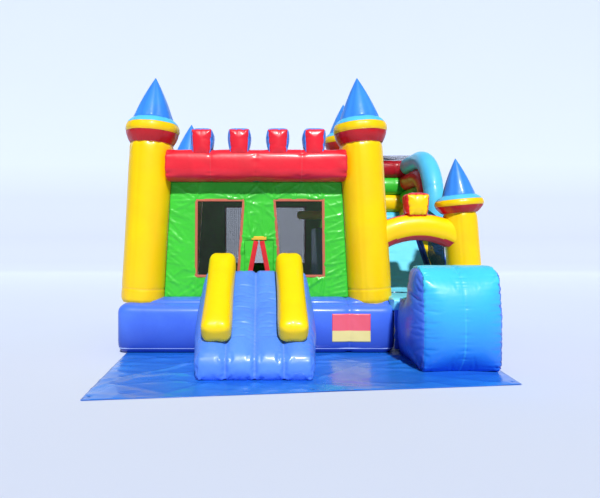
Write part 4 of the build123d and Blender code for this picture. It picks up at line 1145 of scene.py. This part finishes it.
slide_bed = mesh_object("slide_bed_sheet", bed_points.reshape(-1, 3), bed_faces, [BED_CYAN, GAP_SHADOW_NAVY], in_gap_shadow)
with_modifier(slide_bed, "thickness", "SOLIDIFY", thickness=0.003, offset=0.0)
place_piece(slide_bed, "slide_bed")

# blank two-tone panel, laid on the swollen front of the base
base_tree = BVHTree.FromObject(base, bpy.context.evaluated_depsgraph_get())
low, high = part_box("colour_patch")
PATCH_COLS, PATCH_ROWS, PINK_SHARE, PATCH_LIFT = 28, 21, 0.6, 0.004
patch_points = []
for z in np.linspace(low.z, high.z, PATCH_ROWS):
    for x in np.linspace(low.x, high.x, PATCH_COLS):
        hit = base_tree.ray_cast(Vector((x, -2.6, z)), Vector((0, 1, 0)))[0]
        patch_points.append((x, (hit.y if hit else low.y) - PATCH_LIFT, z))
patch_faces = grid_faces(PATCH_ROWS, PATCH_COLS)[:, ::-1]
patch_pick = (np.repeat(np.arange(PATCH_ROWS - 1), PATCH_COLS - 1) < (1 - PINK_SHARE) * (PATCH_ROWS - 1)) * 1
patch = mesh_object("colour_patch_panel", patch_points, patch_faces, [PATCH_PINK, PATCH_CREAM], patch_pick)
with_modifier(patch, "thickness", "SOLIDIFY", thickness=0.002)
place_piece(patch, "colour_patch")

# pale blue piping round the foot of the base
PIPING_HALF, PIPING_R, PIPING_Z, PIPING_CORNER = 1.976, 0.009, 0.075, 0.12
quarter = np.linspace(0, math.pi / 2, 10)
loop = []
for turn, (sx, sy) in enumerate(((1, 1), (-1, 1), (-1, -1), (1, -1))):
    centre = (sx * (PIPING_HALF - PIPING_CORNER), sy * (PIPING_HALF - PIPING_CORNER))
    for angle in quarter + turn * math.pi / 2:
        out = (PIPING_CORNER * math.cos(angle), PIPING_CORNER * math.sin(angle))
        loop.append((centre[0] + out[0], centre[1] + out[1], angle))
round_cut = np.linspace(0, 2 * math.pi, 10, endpoint=False)
piping_points = np.array([
    [(x + PIPING_R * math.cos(cut) * math.cos(angle), y + PIPING_R * math.cos(cut) * math.sin(angle),
      PIPING_Z + PIPING_R * math.sin(cut)) for cut in round_cut]
    for x, y, angle in loop
])
piping = skin("base_piping", piping_points, PIPING_BLUE, loop_rows=True)
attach(piping, "castle")

# air sleeve from the blower, with a strap round its mouth
low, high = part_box("inflation_sleeve")
sleeve_r = (high.z - low.z) / 2
sleeve_x, sleeve_z = (low.x + high.x) / 2, (low.z + high.z) / 2
SLEEVE_ROWS, SLEEVE_WALL, MOUTH = 40, 0.005, 0.05
ys = np.concatenate([np.linspace(low.y, high.y, SLEEVE_ROWS), np.linspace(high.y, low.y, 12)])[:, None]
outside = np.arange(len(ys))[:, None] < SLEEVE_ROWS
angle = np.linspace(0, 2 * math.pi, 64, endpoint=False)[None, :]
clamp = np.abs(ys - (high.y - MOUTH))
run, girth = angle * sleeve_r, 2 * math.pi * sleeve_r
sink = 0.006 * bell(clamp, 0.02) + pucker(run, clamp, girth, 0.010, 0.14, 0.07, 83)
sink += pucker(run, np.abs(ys - low.y), girth, 0.008, 0.10, 0.07, 85)
sleeve_size = np.where(outside, sleeve_r - 0.6 * sink, sleeve_r - SLEEVE_WALL - 0.6 * sink)
sleeve_points = np.stack([
    sleeve_x + sleeve_size * np.cos(angle), ys * np.ones(angle.shape), sleeve_z + sleeve_size * np.sin(angle),
], axis=2)
sleeve = skin("inflation_sleeve_tube", sleeve_points, SPIRE_BLUE, loop_rows=True, gap=clamp, run=run)
place_piece(sleeve, "inflation_sleeve", fill=0.9)

LAP_UP, LAP_OUT, LAP_BACK, LAP_BLEND = 0.012, 0.016, 0.0035, 0.2


def behind_wall(points):
    """A flap's outer and upper edges reach a little behind the wall round the doorway."""
    middle, top = DOOR_X, points[:, 2].max()
    side = np.sign(points[:, 0].mean() - middle)
    half = np.abs(points[:, 0] - middle).max()
    points = points.copy()
    points[:, 2] += LAP_UP * np.clip((points[:, 2] - top + LAP_BLEND) / LAP_BLEND, 0, 1)
    points[:, 0] += LAP_OUT * side * np.clip(side * (points[:, 0] - middle) / half, 0, 1) ** 2
    points[:, 1] += LAP_BACK
    return points


for seed, side in enumerate(("left", "right")):
    panels([f"door_{side}_panel"], f"door_flap_{side}", GREEN, body=f"door_{side}", pitch=0.012,
           ruffle=0.003, seed=71 + 2 * seed, spread=behind_wall)

# carried over from the CAD, with their finishes
FINISHES = {
    "sheet_eyelets": BRASS, "floor_baffles": FLOOR_GREY, "anchor_tabs": BLACK_TAPE, "zip_track": BLACK_TAPE,
    "zip_slider": STEEL, "blower_housing": SHELL, "blower_switch": DARK_PLASTIC, "blower_grille": BLACK_METAL,
    "blower_impeller": DARK_PLASTIC, "blower_motor": GREY_METAL,
    "anchor_ring_left_front": STEEL, "anchor_ring_left_back": STEEL,
    "anchor_ring_right_front": STEEL, "anchor_ring_right_back": STEEL,
}
for node, material in FINISHES.items():
    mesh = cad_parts[node].data
    mesh.materials.clear()
    mesh.materials.append(material)


# ------------------------------------------------------------------ camera, light, stage
def look(azimuth, elevation):
    """Rotation of a light that shines from an azimuth (from -Y, towards +X) and elevation, in degrees."""
    return (math.radians(90 - elevation), 0, math.radians(azimuth))


camera_data = bpy.data.cameras.new("camera")
camera_data.sensor_width = 36.0
camera_data.lens = 31.8
camera_data.shift_x = 0.0633333
camera_data.shift_y = -0.015
camera = bpy.data.objects.new("camera", camera_data)
camera.location = (0.085, -9.53, 1.62)
camera.rotation_euler = (math.radians(90), 0, 0)
bpy.context.scene.collection.objects.link(camera)
bpy.context.scene.camera = camera

SKY_STRENGTH, SUN_STRENGTH = 0.15, 3.9
world = bpy.data.worlds.new("studio")
world.use_nodes = True
world.node_tree.nodes["Background"].inputs["Color"].default_value = srgb(226, 238, 255)
world.node_tree.nodes["Background"].inputs["Strength"].default_value = SKY_STRENGTH
bpy.context.scene.world = world
bpy.context.scene.view_settings.view_transform = "Standard"

sun_data = bpy.data.lights.new("key", "SUN")
sun_data.energy = SUN_STRENGTH
sun_data.angle = math.radians(3.0)
sun_data.color = (1.0, 0.985, 0.95)
sun = bpy.data.objects.new("key", sun_data)
sun.rotation_euler = look(6, 43)
bpy.context.scene.collection.objects.link(sun)


SWEEP_BEND = 6.0


def sweep_profile():
    """A floor that curves up into a wall far behind the castle, as (y, z) points."""
    back, bend, high = 15.0, SWEEP_BEND, 22.0
    curve = [(back + bend * math.sin(a), bend - bend * math.cos(a)) for a in np.linspace(0, math.pi / 2, 16)]
    return [(-30.0, 0.0)] + curve + [(back + bend, high)]


profile = sweep_profile()
SWEEP_HALF = 45.0
sweep_points = [(x, y, z - 0.002) for y, z in profile for x in (-SWEEP_HALF, SWEEP_HALF)]
sweep_faces = [(2 * i, 2 * i + 1, 2 * i + 3, 2 * i + 2) for i in range(len(profile) - 1)]
stage_nodes = Nodes("studio_sweep")
where = stage_nodes.where()
height = stage_nodes.part_of(where, "Z")
evened = stage_nodes.add("ShaderNodeValToRGB", {"Fac": stage_nodes.remap(height, 0.0, SWEEP_BEND, 0.0, 1.0)})
stops = evened.color_ramp.elements
FLOOR_PAINT, FLOOR_LIGHT = srgb(215, 225, 247), 0.993
# share of the bend's height, light that falls there: the paint evens it out
LIGHT_UP_THE_BEND = [
    (0.0, FLOOR_LIGHT), (0.025, 1.172), (0.083, 1.284), (0.29, 1.384), (0.67, 1.281), (1.0, 1.05),
]
stops.remove(stops[1])
for share, light in LIGHT_UP_THE_BEND:
    stop = stops[0] if share == 0.0 else stops.new(share)
    stop.color = tuple(value * FLOOR_LIGHT / light for value in FLOOR_PAINT[:3]) + (1.0,)
worn = stage_nodes.noise(where, 0.4)
paint = stage_nodes.blend(evened.outputs["Color"], srgb(196, 208, 236), worn, 0.3, 0.7, 0.04)
stage_nodes.shade(Base_Color=paint, Roughness=0.95, Specular_IOR_Level=0.1)
stage = mesh_object("studio_sweep", sweep_points, sweep_faces, stage_nodes.material)
